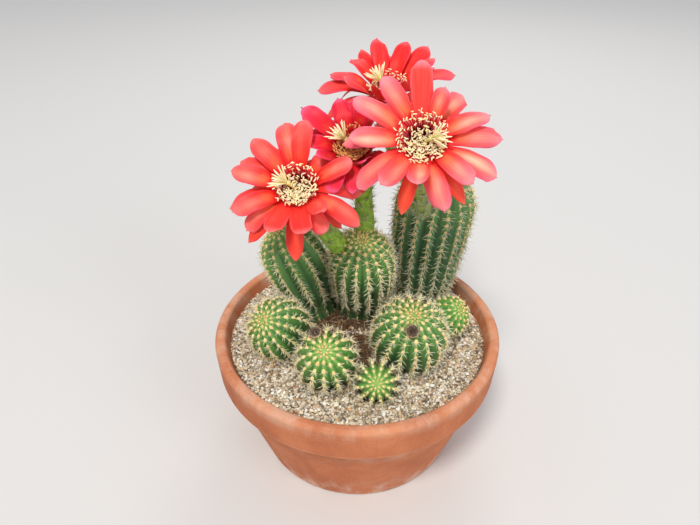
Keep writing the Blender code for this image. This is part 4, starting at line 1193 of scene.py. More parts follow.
def spine_piece(stem):
    """Spines: slim needles fanned round each pad, more upright and shorter near the crown."""
    rng = np.random.default_rng(stem.seed + 90)
    p, n, down, side = stem.pad_frames()
    longest = stem.habit["spine"]
    starts, ways, lengths, ages = [], [], [], []
    fan = (16, -16, 46, -46, 76, -76, 104, -104)
    total = 95.0 if stem.big else 60.0
    for k in range(len(p)):
        arc = stem.pads[k, 0]
        grown = np.clip(0.22 + arc / 30, 0, 1)
        worn = 0.5 if stem.big and p[k, 2] < 24 and stem.habit["look"] == "old" else 1.0
        for psi in fan:
            if rng.uniform() > (0.14 if worn < 1 else 0.64 if stem.big else 0.74):
                continue
            a = math.radians(psi + rng.normal(0, 8))
            lift = math.radians(np.clip(rng.normal(27, 8) + 26 * (1 - grown), 8, 75))
            flat = math.cos(a) * down[k] + math.sin(a) * side[k]
            way = math.cos(lift) * flat + math.sin(lift) * n[k]
            starts.append(p[k] + 0.5 * n[k] + 0.45 * flat)
            ways.append(way)
            lengths.append(longest * grown * rng.uniform(0.62, 1.0) * (1.0 if abs(psi) < 110 else 0.75) * worn)
            ages.append(arc / total)
        for _ in range(0 if worn < 1 else rng.integers(1, 3) if arc > 16 else 1):
            a = math.radians(rng.normal(0, 60))
            lift = math.radians(rng.uniform(52, 80))
            flat = math.cos(a) * down[k] + math.sin(a) * side[k]
            starts.append(p[k] + 0.6 * n[k])
            ways.append(math.cos(lift) * flat + math.sin(lift) * n[k])
            lengths.append(longest * (0.25 + 0.75 * grown) * rng.uniform(0.75, 1.05) * worn)
            ages.append(arc / total)
    # the tuft at the apex
    tip, axis = stem.line[-1] - 1.2 * stem.frames[0][-1], stem.frames[0][-1]
    for _ in range(22 if stem.big else 18):
        a, q = rng.uniform(0, 2 * math.pi), rng.uniform(0.2, 2.2)
        out = math.cos(a) * stem.frames[1][-1] + math.sin(a) * stem.frames[2][-1]
        starts.append(tip + q * out - 0.2 * axis)
        ways.append(unit(axis + out * rng.uniform(-0.35, 0.8)))
        lengths.append(rng.uniform(1.2, 2.8))
        ages.append(0.0)
    starts, ways = np.array(starts), units(np.array(ways))
    lengths, ages = np.array(lengths), np.clip(np.array(ages), 0, 1)
    count = len(starts)
    ref = np.where(np.abs(ways[:, 2:]) < 0.8, [[0.0, 0, 1]], [[1.0, 0, 0]])
    e = units(np.cross(ways, ref))
    f = np.cross(ways, e)
    bend = (e * rng.normal(0, 1, (count, 1)) + f * rng.normal(0, 1, (count, 1))) * 0.062 * lengths[:, None]
    a = 2 * math.pi * np.arange(3) / 3
    thick = rng.uniform(0.23, 0.30, count) * np.clip(lengths / 3.5, 0.7, 1.0) * (1.08 if stem.big else 0.88)
    points = []
    for share, radius in ((0.0, 1.0), (0.55, 0.74)):
        centre = starts + ways * (lengths * share)[:, None] + bend * (4 * share * (1 - share))
        ring = np.cos(a)[None, :, None] * e[:, None] + np.sin(a)[None, :, None] * f[:, None]
        points.append(centre[:, None] + ring * (thick * radius)[:, None, None])
    points.append((starts + ways * lengths[:, None])[:, None])
    points = np.concatenate(points, 1)
    quads, corners = grid_faces(2, 3)
    j = np.arange(3)
    top = np.stack([3 + j, 3 + (j + 1) % 3, np.full(3, 6)], 1)
    top_spots = np.stack([np.stack([j, 0 * j + 1], -1), np.stack([j + 1, 0 * j + 1], -1), np.stack([j + 0.5, 0 * j + 2], -1)], 1).astype(float)
    low = j[::-1][None]
    low_spots = np.array([[[0.4, 2.2], [2.6, 2.2], [1.5, 2.9]]])
    at, size = cells(count, 1.4)
    shift = (np.arange(count) * 7)[:, None, None]
    faces = [(g[None] + shift).reshape(-1, g.shape[1]) for g in (quads, top, low)]
    uv = [(at[:, None, None] + c[None] / [3.0, 3.0] * size).reshape(-1, c.shape[1], 2) for c in (corners, top_spots, low_spots)]
    piece = Piece()
    piece.add(points.reshape(-1, 3) + [0, 0, GRAVEL_TOP], faces, uv, along=np.tile([0, 0, 0, 0.55, 0.55, 0.55, 1], count),
              age=np.repeat(ages, 7), tint=np.repeat(rng.uniform(0, 1, count), 7))
    return piece


# ---------------------------------------------------------------- flowers
def shell_faces(rows, m):
    """Faces and corner places of a thin closed blade: m strips on each side."""
    around = 2 * (m + 1)
    quads, corners = grid_faces(rows, around)
    j = np.arange(m)
    b = (rows - 1) * around
    foot = np.stack([j + 1, j, around - 1 - j, around - 2 - j], 1)
    tip = np.stack([b + j, b + j + 1, b + around - 2 - j, b + around - 1 - j], 1)
    low, high = rows - 0.8, rows - 0.3

    def strip(at):
        return np.stack([np.stack([at + j + x, np.full(m, y)], -1) for x, y in ((0, low), (1, low), (1, high), (0, high))], 1)

    foot_spots = strip(0.0)[:, [1, 0, 3, 2]]
    return [quads, foot, tip], [corners, foot_spots, strip(m + 1.0)]


def petal_points(row, base, whorl, rng, rows, m, pointed):
    """(rows, around, 3) points of one tepal in its flower's frame, and places on it."""
    bearing, tilt, reach, width = row
    low, high = RINGS[whorl]
    a0, a1 = math.radians(base), math.radians(bearing)
    start = np.array([MOUTH * math.cos(a0), MOUTH * math.sin(a0), (low + high) / 2])
    t1 = math.radians(tilt)
    tip = reach * np.array([math.sin(t1) * math.cos(a1), math.sin(t1) * math.sin(a1), math.cos(t1)])
    lift = math.radians(START[whorl])
    lead = np.array([math.sin(lift) * math.cos(a0), math.sin(lift) * math.sin(a0), math.cos(lift)])
    knee = start + 0.48 * np.linalg.norm(tip - start) * lead
    x = np.linspace(0, 1, rows)
    s = -0.035 + 1.035 * (1 - (1 - x) ** 1.45)
    q = s[:, None]
    p = (1 - q) ** 2 * start + 2 * q * (1 - q) * knee + q**2 * tip
    d = units((1 - q) * (knee - start) + q * (tip - knee))
    a = a0 + ((a1 - a0 + math.pi) % (2 * math.pi) - math.pi) * s
    e = np.stack([-np.sin(a), np.cos(a), 0 * a], -1)
    e = units(e - np.sum(e * d, -1, keepdims=True) * d)
    twist = (math.radians(rng.normal(0, 11)) * np.clip(s, 0, 1) ** 1.3)[:, None]
    e = e * np.cos(twist) + np.cross(d, e) * np.sin(twist)
    n = np.cross(d, e)
    s = np.clip(s, 0, 1)
    body = 0.50 + 0.50 * np.sin(math.pi / 2 * np.minimum(1, s / 0.60)) ** 1.2
    shoulder = 0.77 - 0.22 * pointed
    far = np.clip((s - shoulder) / (1 - shoulder), 0, 1)
    body *= (1 - far ** (2.3 - 0.6 * pointed)) ** (0.48 + 0.30 * pointed)
    half = width / 2 * {"outer": 1.08, "middle": 1.0, "inner": 0.98}[whorl] * np.maximum(body, 0.035)
    t = np.sin(np.linspace(-1, 1, m + 1) * math.pi / 2) * 0.35 + np.linspace(-1, 1, m + 1) * 0.65
    cup = {"outer": -0.10, "middle": 0.05, "inner": 0.13}[whorl] + rng.uniform(-0.10, 0.12)
    side_wave = rng.uniform(0, 2 * math.pi, 4)
    grow = np.sin(math.pi / 2 * s)[:, None]
    edge = np.abs(t)[None]
    lean = np.where(t > 0, 1.0, 0.0)[None]
    wave = (lean * np.sin(2 * math.pi * 1.3 * s[:, None] + side_wave[0]) + (1 - lean) * np.sin(2 * math.pi * 1.5 * s[:, None] + side_wave[1]))
    h = cup * half[:, None] * t[None] ** 2
    h = h - rng.uniform(0.08, 0.38) * half[:, None] * edge**4 * grow**2
    h = h + rng.uniform(0.4, 0.95) * wave * edge**2.2 * grow
    h = h - 0.20 * np.exp(-((t[None] / 0.14) ** 2)) * (1 - 0.75 * s[:, None])
    h = h + 0.045 * np.cos(math.pi * 5.5 * t[None] + side_wave[2]) * np.sin(math.pi * np.clip(s, 0.02, 1))[:, None] ** 0.5
    h = h + rng.normal(0, 0.35) * np.sin(2 * math.pi * s + side_wave[3])[:, None] * grow
    droop = {"outer": 1.6, "middle": 3.0, "inner": 1.7}[whorl] * rng.uniform(0.2, 1.4)
    h = h - droop * np.clip((s[:, None] - 0.60) / 0.40, 0, 1) ** 2 + 0.35 * droop * np.sin(math.pi * s[:, None]) ** 2
    ragged = 1 + 0.022 * np.sin(17 * s[:, None] + side_wave[3] + 3 * lean) * edge**3
    # a tooth on one side of some tips
    if rng.uniform() < 0.45:
        tooth, which = rng.uniform(0.84, 0.93), rng.integers(0, 2)
        ragged = ragged + np.where(lean == which, 1.0, 0.0) * (0.15 * np.exp(-(((s[:, None] - tooth) / 0.035) ** 2)) - 0.10 * np.exp(-(((s[:, None] - tooth - 0.06) / 0.04) ** 2)))
    nib = rng.uniform(0.6, 2.0) * np.exp(-(((t[None] - rng.uniform(-0.2, 0.2)) / 0.2) ** 2)) * s[:, None] ** 16
    nib = nib - 1.1 * rng.uniform(0, 1) * np.exp(-(((t[None] - rng.uniform(-0.6, 0.6)) / 0.16) ** 2)) * s[:, None] ** 10
    middle = p[:, None] + e[:, None] * (half[:, None] * t[None] * ragged)[..., None] + n[:, None] * h[..., None] + d[:, None] * nib[..., None]
    thick = 0.20 + 0.52 * (1 - t[None] ** 2) * (1 - 0.5 * s[:, None])
    up, down = middle + n[:, None] * (thick / 2)[..., None], middle - n[:, None] * (thick / 2)[..., None]
    points = np.concatenate([up, down[:, ::-1]], 1)
    along = np.repeat(s[:, None], 2 * (m + 1), 1)
    across = np.tile(np.concatenate([t, t[::-1]]), (rows, 1))
    under = np.tile(np.concatenate([0 * t, 0 * t + 1]), (rows, 1))
    return points, along, across, under


# How red each tepal is, in the order of its rows; the rest vary a little around "mean".
REDNESS = {
    "flower_right": dict(mean=0.12, inner={0: 1.0, 1: 0.35, 5: 0.35}, outer=0.75),
    "flower_left": dict(mean=0.32, inner={4: 0.85, 5: 0.95, 6: 0.8, 0: 0.6}, outer=0.55),
    "flower_middle": dict(mean=0.75, inner={}, outer=0.85),
    "flower_rear": dict(mean=0.85, inner={2: 0.35, 3: 0.6, 4: 0.3, 5: 0.3, 8: 0.35}, middle={2: 0.1, 3: 0.3, 6: 0.15}, outer=0.4),
}


def whorl_piece(flower, whorl, kept, bases):
    spec, red = FLOWERS[flower], REDNESS[flower]
    rows, m = (20, 10) if whorl != "outer" else (17, 8)
    piece = Piece()
    at, size = cells(len(kept), 1.0)
    order = [r[0] % 360 for r in spec[whorl]]
    for i, row in enumerate(kept):
        rng = np.random.default_rng(4000 + 100 * FLOWER_ORDER.index(flower) + 30 * ("inner", "middle", "outer").index(whorl) + i)
        pointed = {"outer": 0.62, "middle": 0.22, "inner": 0.16}[whorl] + rng.uniform(-0.14, 0.24)
        if whorl == "inner" and row[2] < 38:
            pointed = 0.60
        near = int(np.argmin([abs((row[0] - o + 180) % 360 - 180) for o in order]))
        row = (*row[:3], max(row[3], 0.96 * spec[whorl][near][3] * min(1.0, 0.35 + 0.65 * row[2] / spec[whorl][near][2])))
        points, along, across, under = petal_points(row, bases[i], whorl, rng, rows, m, pointed)
        share = red["outer"] if whorl == "outer" else red.get(whorl, {}).get(near, red["mean"])
        share = float(np.clip(share + rng.uniform(-0.12, 0.12), 0, 1))
        faces, corners = shell_faces(rows, m)
        uv = [cell_uv(c, (2 * (m + 1), rows), at[i], size) for c in corners]
        local = placed(points.reshape(-1, 3), spec) + [0, 0, GRAVEL_TOP]
        piece.add(local, faces, uv, along=along.ravel(), across=across.ravel(), under=under.ravel(),
                  tint=rng.uniform(), red=share, outer=float(whorl == "outer"))
    return piece


def tube_rings(spec, rows, cup_rows):
    """Centres, frames and radii down the outside of a floral tube, over its lip and in."""
    points = tube_line(spec)
    places = np.linspace(0, 1, rows + 1)
    line = np.array([bezier(points, t) for t in places])
    tangents, sides = carried_frames(line)
    w, throat = unit(spec["faces"]), np.array(spec["throat"], float)
    rings = [(line[k], tangents[k], sides[k], eased(TUBE_RADII, places[k]), places[k] * 0.8, 0.0) for k in range(rows + 1)]
    side = unit(sides[-1] - (sides[-1] @ w) * w)
    for high, radius, inside in ((1.2, 13.1, 0), (2.6, 13.3, 0), (3.9, 13.0, 0), (4.7, 12.3, 0.3), (4.8, 11.6, 0.6), (4.0, 11.0, 0.8), (1.5, 10.9, 1)):
        rings.append((throat + high * w, w, side, radius, 0.8 + 0.02 * high, inside))
    length = np.linalg.norm(np.diff([bezier(points, t) for t in np.linspace(0, 1, 30)], axis=0), axis=1).sum()
    for k in range(cup_rows + 1):
        q = k / cup_rows
        near = bezier(points, 1 - CUP_DEPTH * q / length)
        rings.append((near, w, side, 11.2 - 5.6 * math.sin(math.pi / 2 * q), 0.9 + 0.1 * q, 1.0))
    return rings


def tube_piece(flower):
    spec = FLOWERS[flower]
    rows, around, cup_rows = 34, 40, 12
    rings = tube_rings(spec, rows, cup_rows)
    a = 2 * math.pi * np.arange(around) / around
    points, along, inside = [], [], []
    for k, (centre, tangent, side, radius, place, within) in enumerate(rings):
        side = unit(side - (side @ tangent) * tangent)
        over = np.cross(tangent, side)
        r = np.full(around, radius)
        if k <= rows:
            r = r + 0.30 * np.cos(8 * a + 7 * place) * min(1, 4 * (1 - k / rows)) + 0.14 * np.cos(21 * a - 11 * place)
        elif within == 1.0:
            r = r + 0.16 * np.cos(19 * a)
        points.append(centre + r[:, None] * (np.cos(a)[:, None] * side + np.sin(a)[:, None] * over))
        along.append(np.full(around, place))
        inside.append(np.full(around, within))
    count = len(rings)
    faces, corners = tube_faces(count, around)
    piece = Piece()
    piece.add(np.concatenate(points) + [0, 0, GRAVEL_TOP], faces, [cell_uv(c, (around, count), (0.01, 0.01), (0.98, 0.98)) for c in corners],
              along=np.concatenate(along), inside=np.concatenate(inside))
    return piece


def scale_pieces(flower, look):
    """Small pointed scales that climb the tube in a spiral, and the hairs in their axils."""
    spec = FLOWERS[flower]
    rng = np.random.default_rng(700 + FLOWER_ORDER.index(flower))
    points = tube_line(spec)
    count, rows, m = 34, 6, 2
    scales = Piece()
    at, size = cells(count, 1.0)
    lines = []
    faces, corners = shell_faces(rows, m)
    fine = np.linspace(0, 1, 81)
    line = np.array([bezier(points, t) for t in fine])
    tangents, sides = carried_frames(line)
    for i in range(count):
        place = 0.10 + 0.86 * (i / (count - 1)) ** 0.92
        k = int(round(place * 80))
        angle = i * 2.39996 + rng.uniform(-0.15, 0.15)
        tangent, side = tangents[k], sides[k]
        out = math.cos(angle) * side + math.sin(angle) * np.cross(tangent, side)
        across = np.cross(tangent, out)
        foot = line[k] + out * (eased(TUBE_RADII, place) - 0.25)
        upper = max(0.0, (place - 0.70) / 0.28)
        length = 4.2 + 2.6 * place + 4.4 * upper + rng.uniform(-0.6, 0.6)
        half = 1.25 + 0.45 * place + 0.25 * upper
        s = np.linspace(0, 1, rows)
        lean = np.radians(9 + 10 * s + 20 * upper * s)
        widths = half * np.maximum(np.sin(math.pi * np.clip(0.28 + 0.72 * s, 0, 1)) ** 0.8 * (1 - 0.25 * s), 0.06)
        t = np.linspace(-1, 1, m + 1)
        spine = foot + tangent * (length * s * np.cos(lean))[:, None] + out * (length * s * np.sin(lean) + 0.35 * (1 - s) * 0)[:, None]
        bowl = -0.22 * widths[:, None] * t[None] ** 2
        middle = spine[:, None] + across * (widths[:, None] * t[None])[..., None] + out * bowl[..., None]
        thick = 0.42 * (1 - 0.55 * s)
        up, down = middle + out * (thick / 2)[:, None, None], middle - out * (thick / 2)[:, None, None]
        blade = np.concatenate([up, down[:, ::-1]], 1)
        scales.add(blade.reshape(-1, 3) + [0, 0, GRAVEL_TOP], faces, [cell_uv(c, (2 * (m + 1), rows), at[i], size) for c in corners],
                   along=np.repeat(s, 2 * (m + 1)), upper=upper, tint=rng.uniform())
        for _ in range(20 if place < 0.80 else 6 if place < 0.90 else 0):
            way = unit(0.75 * tangent + rng.uniform(0.15, 0.75) * out + rng.normal(0, 0.55) * across)
            begin = foot + out * 0.35 + across * rng.uniform(-1, 1) * half + tangent * rng.uniform(-0.5, 1.0)
            reach = rng.uniform(3.6, 8.4) if place > 0.3 else rng.uniform(3.2, 6.0)
            swirl = rng.normal(0, 0.22, 3) * reach
            lines.append([begin + way * reach * q + swirl * q * q for q in (0, 0.34, 0.68, 1.0)])
    # narrow dry bracts that hang from under the lip
    strap, long_corners = shell_faces(9, m)
    at, size = cells(8, 1.0)
    for i in range(8):
        k = int(round(rng.uniform(0.86, 0.93) * 80))
        angle = i * math.pi / 4 + rng.uniform(-0.3, 0.3)
        tangent, side = tangents[k], sides[k]
        out = math.cos(angle) * side + math.sin(angle) * np.cross(tangent, side)
        across = np.cross(tangent, out)
        s = np.linspace(0, 1, 9)
        length, half = rng.uniform(8, 13), rng.uniform(1.1, 1.9)
        turned = np.radians(30 + rng.uniform(70, 120) * np.minimum(1, s * 1.5))
        step = tangent * np.cos(turned)[:, None] + out * np.sin(turned)[:, None]
        spine = line[k] + out * (eased(TUBE_RADII, fine[k]) - 0.3) + np.cumsum(step, 0) * length / 9
        face = np.cross(across, step)
        t = np.linspace(-1, 1, m + 1)
        widths = half * np.maximum(np.sin(math.pi * np.clip(0.30 + 0.70 * s, 0, 1)) ** 0.7 * (1 + 0.12 * np.sin(9 * s)), 0.07)
        middle = spine[:, None] + across * (widths[:, None] * t[None])[..., None] + face[:, None] * (0.25 * widths[:, None] * t[None] ** 2)[..., None]
        thick = 0.42 * (1 - 0.5 * s)
        up, down = middle - face[:, None] * (thick / 2)[:, None, None], middle + face[:, None] * (thick / 2)[:, None, None]
        blade = np.concatenate([up, down[:, ::-1]], 1)
        scales.add(blade.reshape(-1, 3) + [0, 0, GRAVEL_TOP], strap, [cell_uv(c, (2 * (m + 1), 9), at[i], size) * [0.2, 0.2] + [0.8, 0.8] for c in long_corners],
                   along=np.repeat(s, 2 * (m + 1)), upper=rng.uniform(0.75, 1.0), tint=rng.uniform())
    scales.make(flower + "_scales", [look], "flower_tube")
    for _ in range(230):
        place, angle = rng.uniform(0.06, 0.34), rng.uniform(0, 2 * math.pi)
        k = int(round(place * 80))
        tangent, side = tangents[k], sides[k]
        out = math.cos(angle) * side + math.sin(angle) * np.cross(tangent, side)
        begin = line[k] + out * (eased(TUBE_RADII, place) - 0.1)
        way = unit(rng.uniform(-0.2, 0.9) * tangent + rng.uniform(0.3, 1.0) * out + rng.normal(0, 0.6) * np.cross(tangent, out))
        reach = rng.uniform(2.4, 5.4)
        swirl = rng.normal(0, 0.3, 3) * reach
        lines.append([begin + way * reach * q + swirl * q * q for q in (0, 0.34, 0.68, 1.0)])
    lines = np.array(lines)
    radii = np.tile([0.15, 0.125, 0.10, 0.04], (len(lines), 1)) * rng.uniform(0.8, 1.2, (len(lines), 1))
    hair, groups, uv = many_tubes(lines, radii, 3)
    hairs = Piece()
    hairs.add(hair + [0, 0, GRAVEL_TOP], groups, uv, tint=np.repeat(rng.uniform(0, 1, len(lines)), 12),
              along=np.tile(np.repeat([0, 0.34, 0.68, 1.0], 3), len(lines)))
    return hairs


def stamen_piece(flower):
    """Filaments rising from the throat's wall, each with its anther."""
    spec = FLOWERS[flower]
    rng = np.random.default_rng(800 + FLOWER_ORDER.index(flower))
    wide = {"flower_right": 17.6, "flower_left": 15.4, "flower_middle": 14.0, "flower_rear": 15.5}[flower]
    lean = math.radians(spec["style_bearing"])
    lines, tips, ways = [], [], []
    for i in range(58):
        a = 2 * math.pi * (i + rng.uniform(-0.4, 0.4)) / 58
        aside = abs((a - lean + math.pi) % (2 * math.pi) - math.pi)
        r = wide + rng.uniform(-2.6, 1.0)
        high = rng.uniform(9.5, 13.5)
        if aside < 0.55:
            r, high = r * 0.86, rng.uniform(5.5, 8.0)
        foot = np.array([11.0 * math.cos(a), 11.0 * math.sin(a), 1.5 + rng.uniform(-1, 1)])
        b = a + rng.normal(0, 0.05)
        tip = np.array([r * math.cos(b), r * math.sin(b), high])
        knee = foot + np.array([0.6 * math.cos(a), 0.6 * math.sin(a), 0.62 * (tip[2] - foot[2])])
        lines.append((foot, knee, tip))
        ways.append(b)
    for i in range(190):
        down = rng.uniform() < 0.70
        a = math.radians(rng.normal(262, 58)) if down else rng.uniform(0, 2 * math.pi)
        r = math.sqrt(rng.uniform(0.06, 1.0)) * (wide - 2.2)
        if not down:
            r = max(r, 5.6)
        high = 6.2 + 0.22 * r + rng.uniform(-2.0, 1.8) - (1.6 if r < 5 else 0)
        aside = abs((a - lean + math.pi) % (2 * math.pi) - math.pi)
        if aside < 0.5 and r > 4:
            high -= 2.6
        deep = rng.uniform(-12, -1)
        wall = 10.9 - 5.4 * math.sin(math.pi / 2 * min(1, -deep / CUP_DEPTH))
        foot = np.array([wall * math.cos(a), wall * math.sin(a), deep])
        b = a + rng.normal(0, 0.12)
        tip = np.array([r * math.cos(b), r * math.sin(b), high])
        knee = foot * [0.93, 0.93, 1] + [0, 0, 0.6 * (high - deep)]
        lines.append((foot, knee, tip))
        ways.append(b)
    for i in range(80):
        a = rng.uniform(0, 2 * math.pi)
        r, deep = rng.uniform(0.8, 8.5), rng.uniform(-15, -6)
        high = rng.uniform(1.5, 7.0)
        wall = 10.9 - 5.4 * math.sin(math.pi / 2 * min(1, -deep / CUP_DEPTH))
        foot = np.array([wall * math.cos(a), wall * math.sin(a), deep])
        b = a + rng.normal(0, 0.2)
        tip = np.array([r * math.cos(b), r * math.sin(b), high])
        knee = foot * [0.8, 0.8, 1] + [0, 0, 0.55 * (high - deep)]
        lines.append((foot, knee, tip))
        ways.append(b)
    q = np.linspace(0, 1, 5)[:, None]
    curves = np.array([(1 - q) ** 2 * f + 2 * q * (1 - q) * k + q**2 * t for f, k, t in lines])
    radii = np.tile([0.30, 0.28, 0.25, 0.22, 0.18], (len(lines), 1))
    points, groups, uv = many_tubes(curves, radii, 4)
    uv = [u * [1, 0.48] for u in uv]
    piece = Piece()
    piece.add(placed(points, spec) + [0, 0, GRAVEL_TOP], groups, uv, anther=0.0, tint=np.repeat(rng.uniform(0, 1, len(lines)), 20),
              along=np.tile(np.repeat(q.ravel(), 4), len(lines)))
    # anthers: short beans that lie across their filaments
    count, around = len(lines), 6
    tip = curves[:, -1]
    ways = np.array(ways)
    turn = rng.normal(0, 0.65, count)
    flat = np.stack([-np.sin(ways), np.cos(ways), 0 * ways], -1)
    out = np.stack([np.cos(ways), np.sin(ways), 0 * ways], -1)
    up = np.array([0, 0, 1.0])
    axis = units(flat * np.cos(turn)[:, None] + out * np.sin(turn)[:, None] + up * rng.normal(0, 0.45, (count, 1)))
    e = units(np.cross(axis, up + 0.01))
    f = np.cross(axis, e)
    long = rng.uniform(1.10, 1.75, count)
    fat = rng.uniform(0.45, 0.62, count)
    a = 2 * math.pi * np.arange(around) / around
    rings = ((-0.92, 0.45), (-0.45, 0.95), (0.0, 0.86), (0.45, 0.97), (0.92, 0.42))
    beans = []
    for x, r in rings:
        ring = np.cos(a)[None, :, None] * e[:, None] + 0.8 * np.sin(a)[None, :, None] * f[:, None]
        rough = rng.uniform(0.85, 1.15, (count, around))
        beans.append((tip + axis * (long * x)[:, None])[:, None] + ring * (fat[:, None] * r * rough)[..., None])
    beans = np.concatenate(beans, 1).reshape(-1, 3)
    groups, corners = tube_faces(5, around)
    shift = (np.arange(count) * 5 * around)[:, None, None]
    at, size = cells(count, 2.0)
    faces = [(g[None] + shift).reshape(-1, g.shape[1]) for g in groups]
    uv = [((at[:, None, None] + c[None] / [around, 5.0] * size) * [1, 0.48] + [0, 0.51]).reshape(-1, c.shape[1], 2) for c in corners]
    piece.add(placed(beans, spec) + [0, 0, GRAVEL_TOP], faces, uv, anther=1.0, tint=np.repeat(rng.uniform(0, 1, count), 5 * around), along=1.0)
    return piece


def stigma_piece(flower):
    """The style and its fan of finger-like lobes."""
    spec = FLOWERS[flower]
    rng = np.random.default_rng(900 + FLOWER_ORDER.index(flower))
    b, t = math.radians(spec["style_bearing"]), math.radians(spec["style_tilt"])
    lean = np.array([math.sin(t) * math.cos(b), math.sin(t) * math.sin(b), math.cos(t)])
    u, v, w = flower_frame(spec)
    points = tube_line(spec)
    length = np.linalg.norm(np.diff([bezier(points, k) for k in np.linspace(0, 1, 30)], axis=0), axis=1).sum()
    floor = bezier(points, 1 - (CUP_DEPTH - 1.6) / length) - np.array(spec["throat"], float)
    start = np.array([floor @ u, floor @ v, floor @ w]) + np.array([0, 0, 0.3])
    head = 8.0 * lean + np.array([0, 0, 5.5])
    path = [start, np.array([0, 0, -6.0]), head - 5 * lean, head]
    q = np.linspace(0, 1, 12)
    style = np.array([bezier(path, x) for x in q])[None]
    radii = np.interp(q, [0, 0.8, 0.94, 1], [1.15, 1.05, 1.25, 1.8])[None]
    pts, groups, uv = many_tubes(style, radii, 12)
    piece = Piece()
    piece.add(placed(pts, spec) + [0, 0, GRAVEL_TOP], groups, [u_ * [0.25, 1] for u_ in uv], along=np.repeat(q * 0.3, 12), tint=0.5)
    ahead = unit(bezier(path, 1.0) - bezier(path, 0.96))
    side = unit(np.cross(ahead, (0.3, 0.2, 1.0)))
    over = np.cross(ahead, side)
    outer, inner = 11, 6
    curves = []
    for i in range(outer + inner):
        big = i < outer
        a = 2 * math.pi * (i + (0 if big else 0.5)) / (outer if big else inner) + rng.uniform(-0.12, 0.12)
        spread = math.radians(rng.uniform(28, 44) if big else rng.uniform(6, 20))
        out = math.cos(a) * side + math.sin(a) * over
        way = unit(math.cos(spread) * ahead + math.sin(spread) * out)
        begin = head + ahead * 0.4 + out * (1.0 if big else 0.35)
        reach = rng.uniform(10.4, 13.0) if big else rng.uniform(9.6, 12.0)
        bend = out * rng.uniform(-0.4, 1.1) + rng.normal(0, 0.35, 3)
        curves.append([begin + way * reach * x + bend * x * x for x in np.linspace(0, 1, 9)])
    curves = np.array(curves)
    x = np.linspace(0, 1, 9)
    fat = np.interp(x, [0, 0.3, 0.8, 0.93, 1.0], [0.44, 0.56, 0.53, 0.44, 0.18])
    radii = fat[None] * rng.uniform(0.92, 1.1, (len(curves), 1))
    pts, groups, uv = many_tubes(curves, radii, 8)
    piece.add(placed(pts, spec) + [0, 0, GRAVEL_TOP], groups, [u_ * [0.7, 1] + [0.28, 0] for u_ in uv],
              along=np.tile(np.repeat(0.4 + 0.6 * x, 8), len(curves)), tint=np.repeat(rng.uniform(0, 1, len(curves)), 72))
    return piece


# ---------------------------------------------------------------- pot, gravel, litter, scars
def rounded(points, radius, closed=True, parts=4):
    """A profile whose corners are rounded by small arcs; radius per corner, mm."""
    n, made = len(points), []
    for k in range(n):
        p = np.array(points[k], float)
        before, after = np.array(points[k - 1], float), np.array(points[(k + 1) % n], float)
        r = min(radius[k], 0.45 * np.linalg.norm(before - p), 0.45 * np.linalg.norm(after - p))
        if r < 0.05:
            made.append(p)
            continue
        a, b = p + unit(before - p) * r, p + unit(after - p) * r
        for x in np.linspace(0, 1, parts + 1):
            made.append((1 - x) ** 2 * a + 2 * x * (1 - x) * p + x * x * b)
    return made


def filled(profile, longest):
    """Adds points so that no step of a closed profile is longer than longest, mm."""
    made = []
    for k in range(len(profile)):
        a, b = np.array(profile[k]), np.array(profile[(k + 1) % len(profile)])
        parts = max(1, math.ceil(np.linalg.norm(b - a) / longest))
        made += [a + (b - a) * x / parts for x in range(parts)]
    return np.array(made)


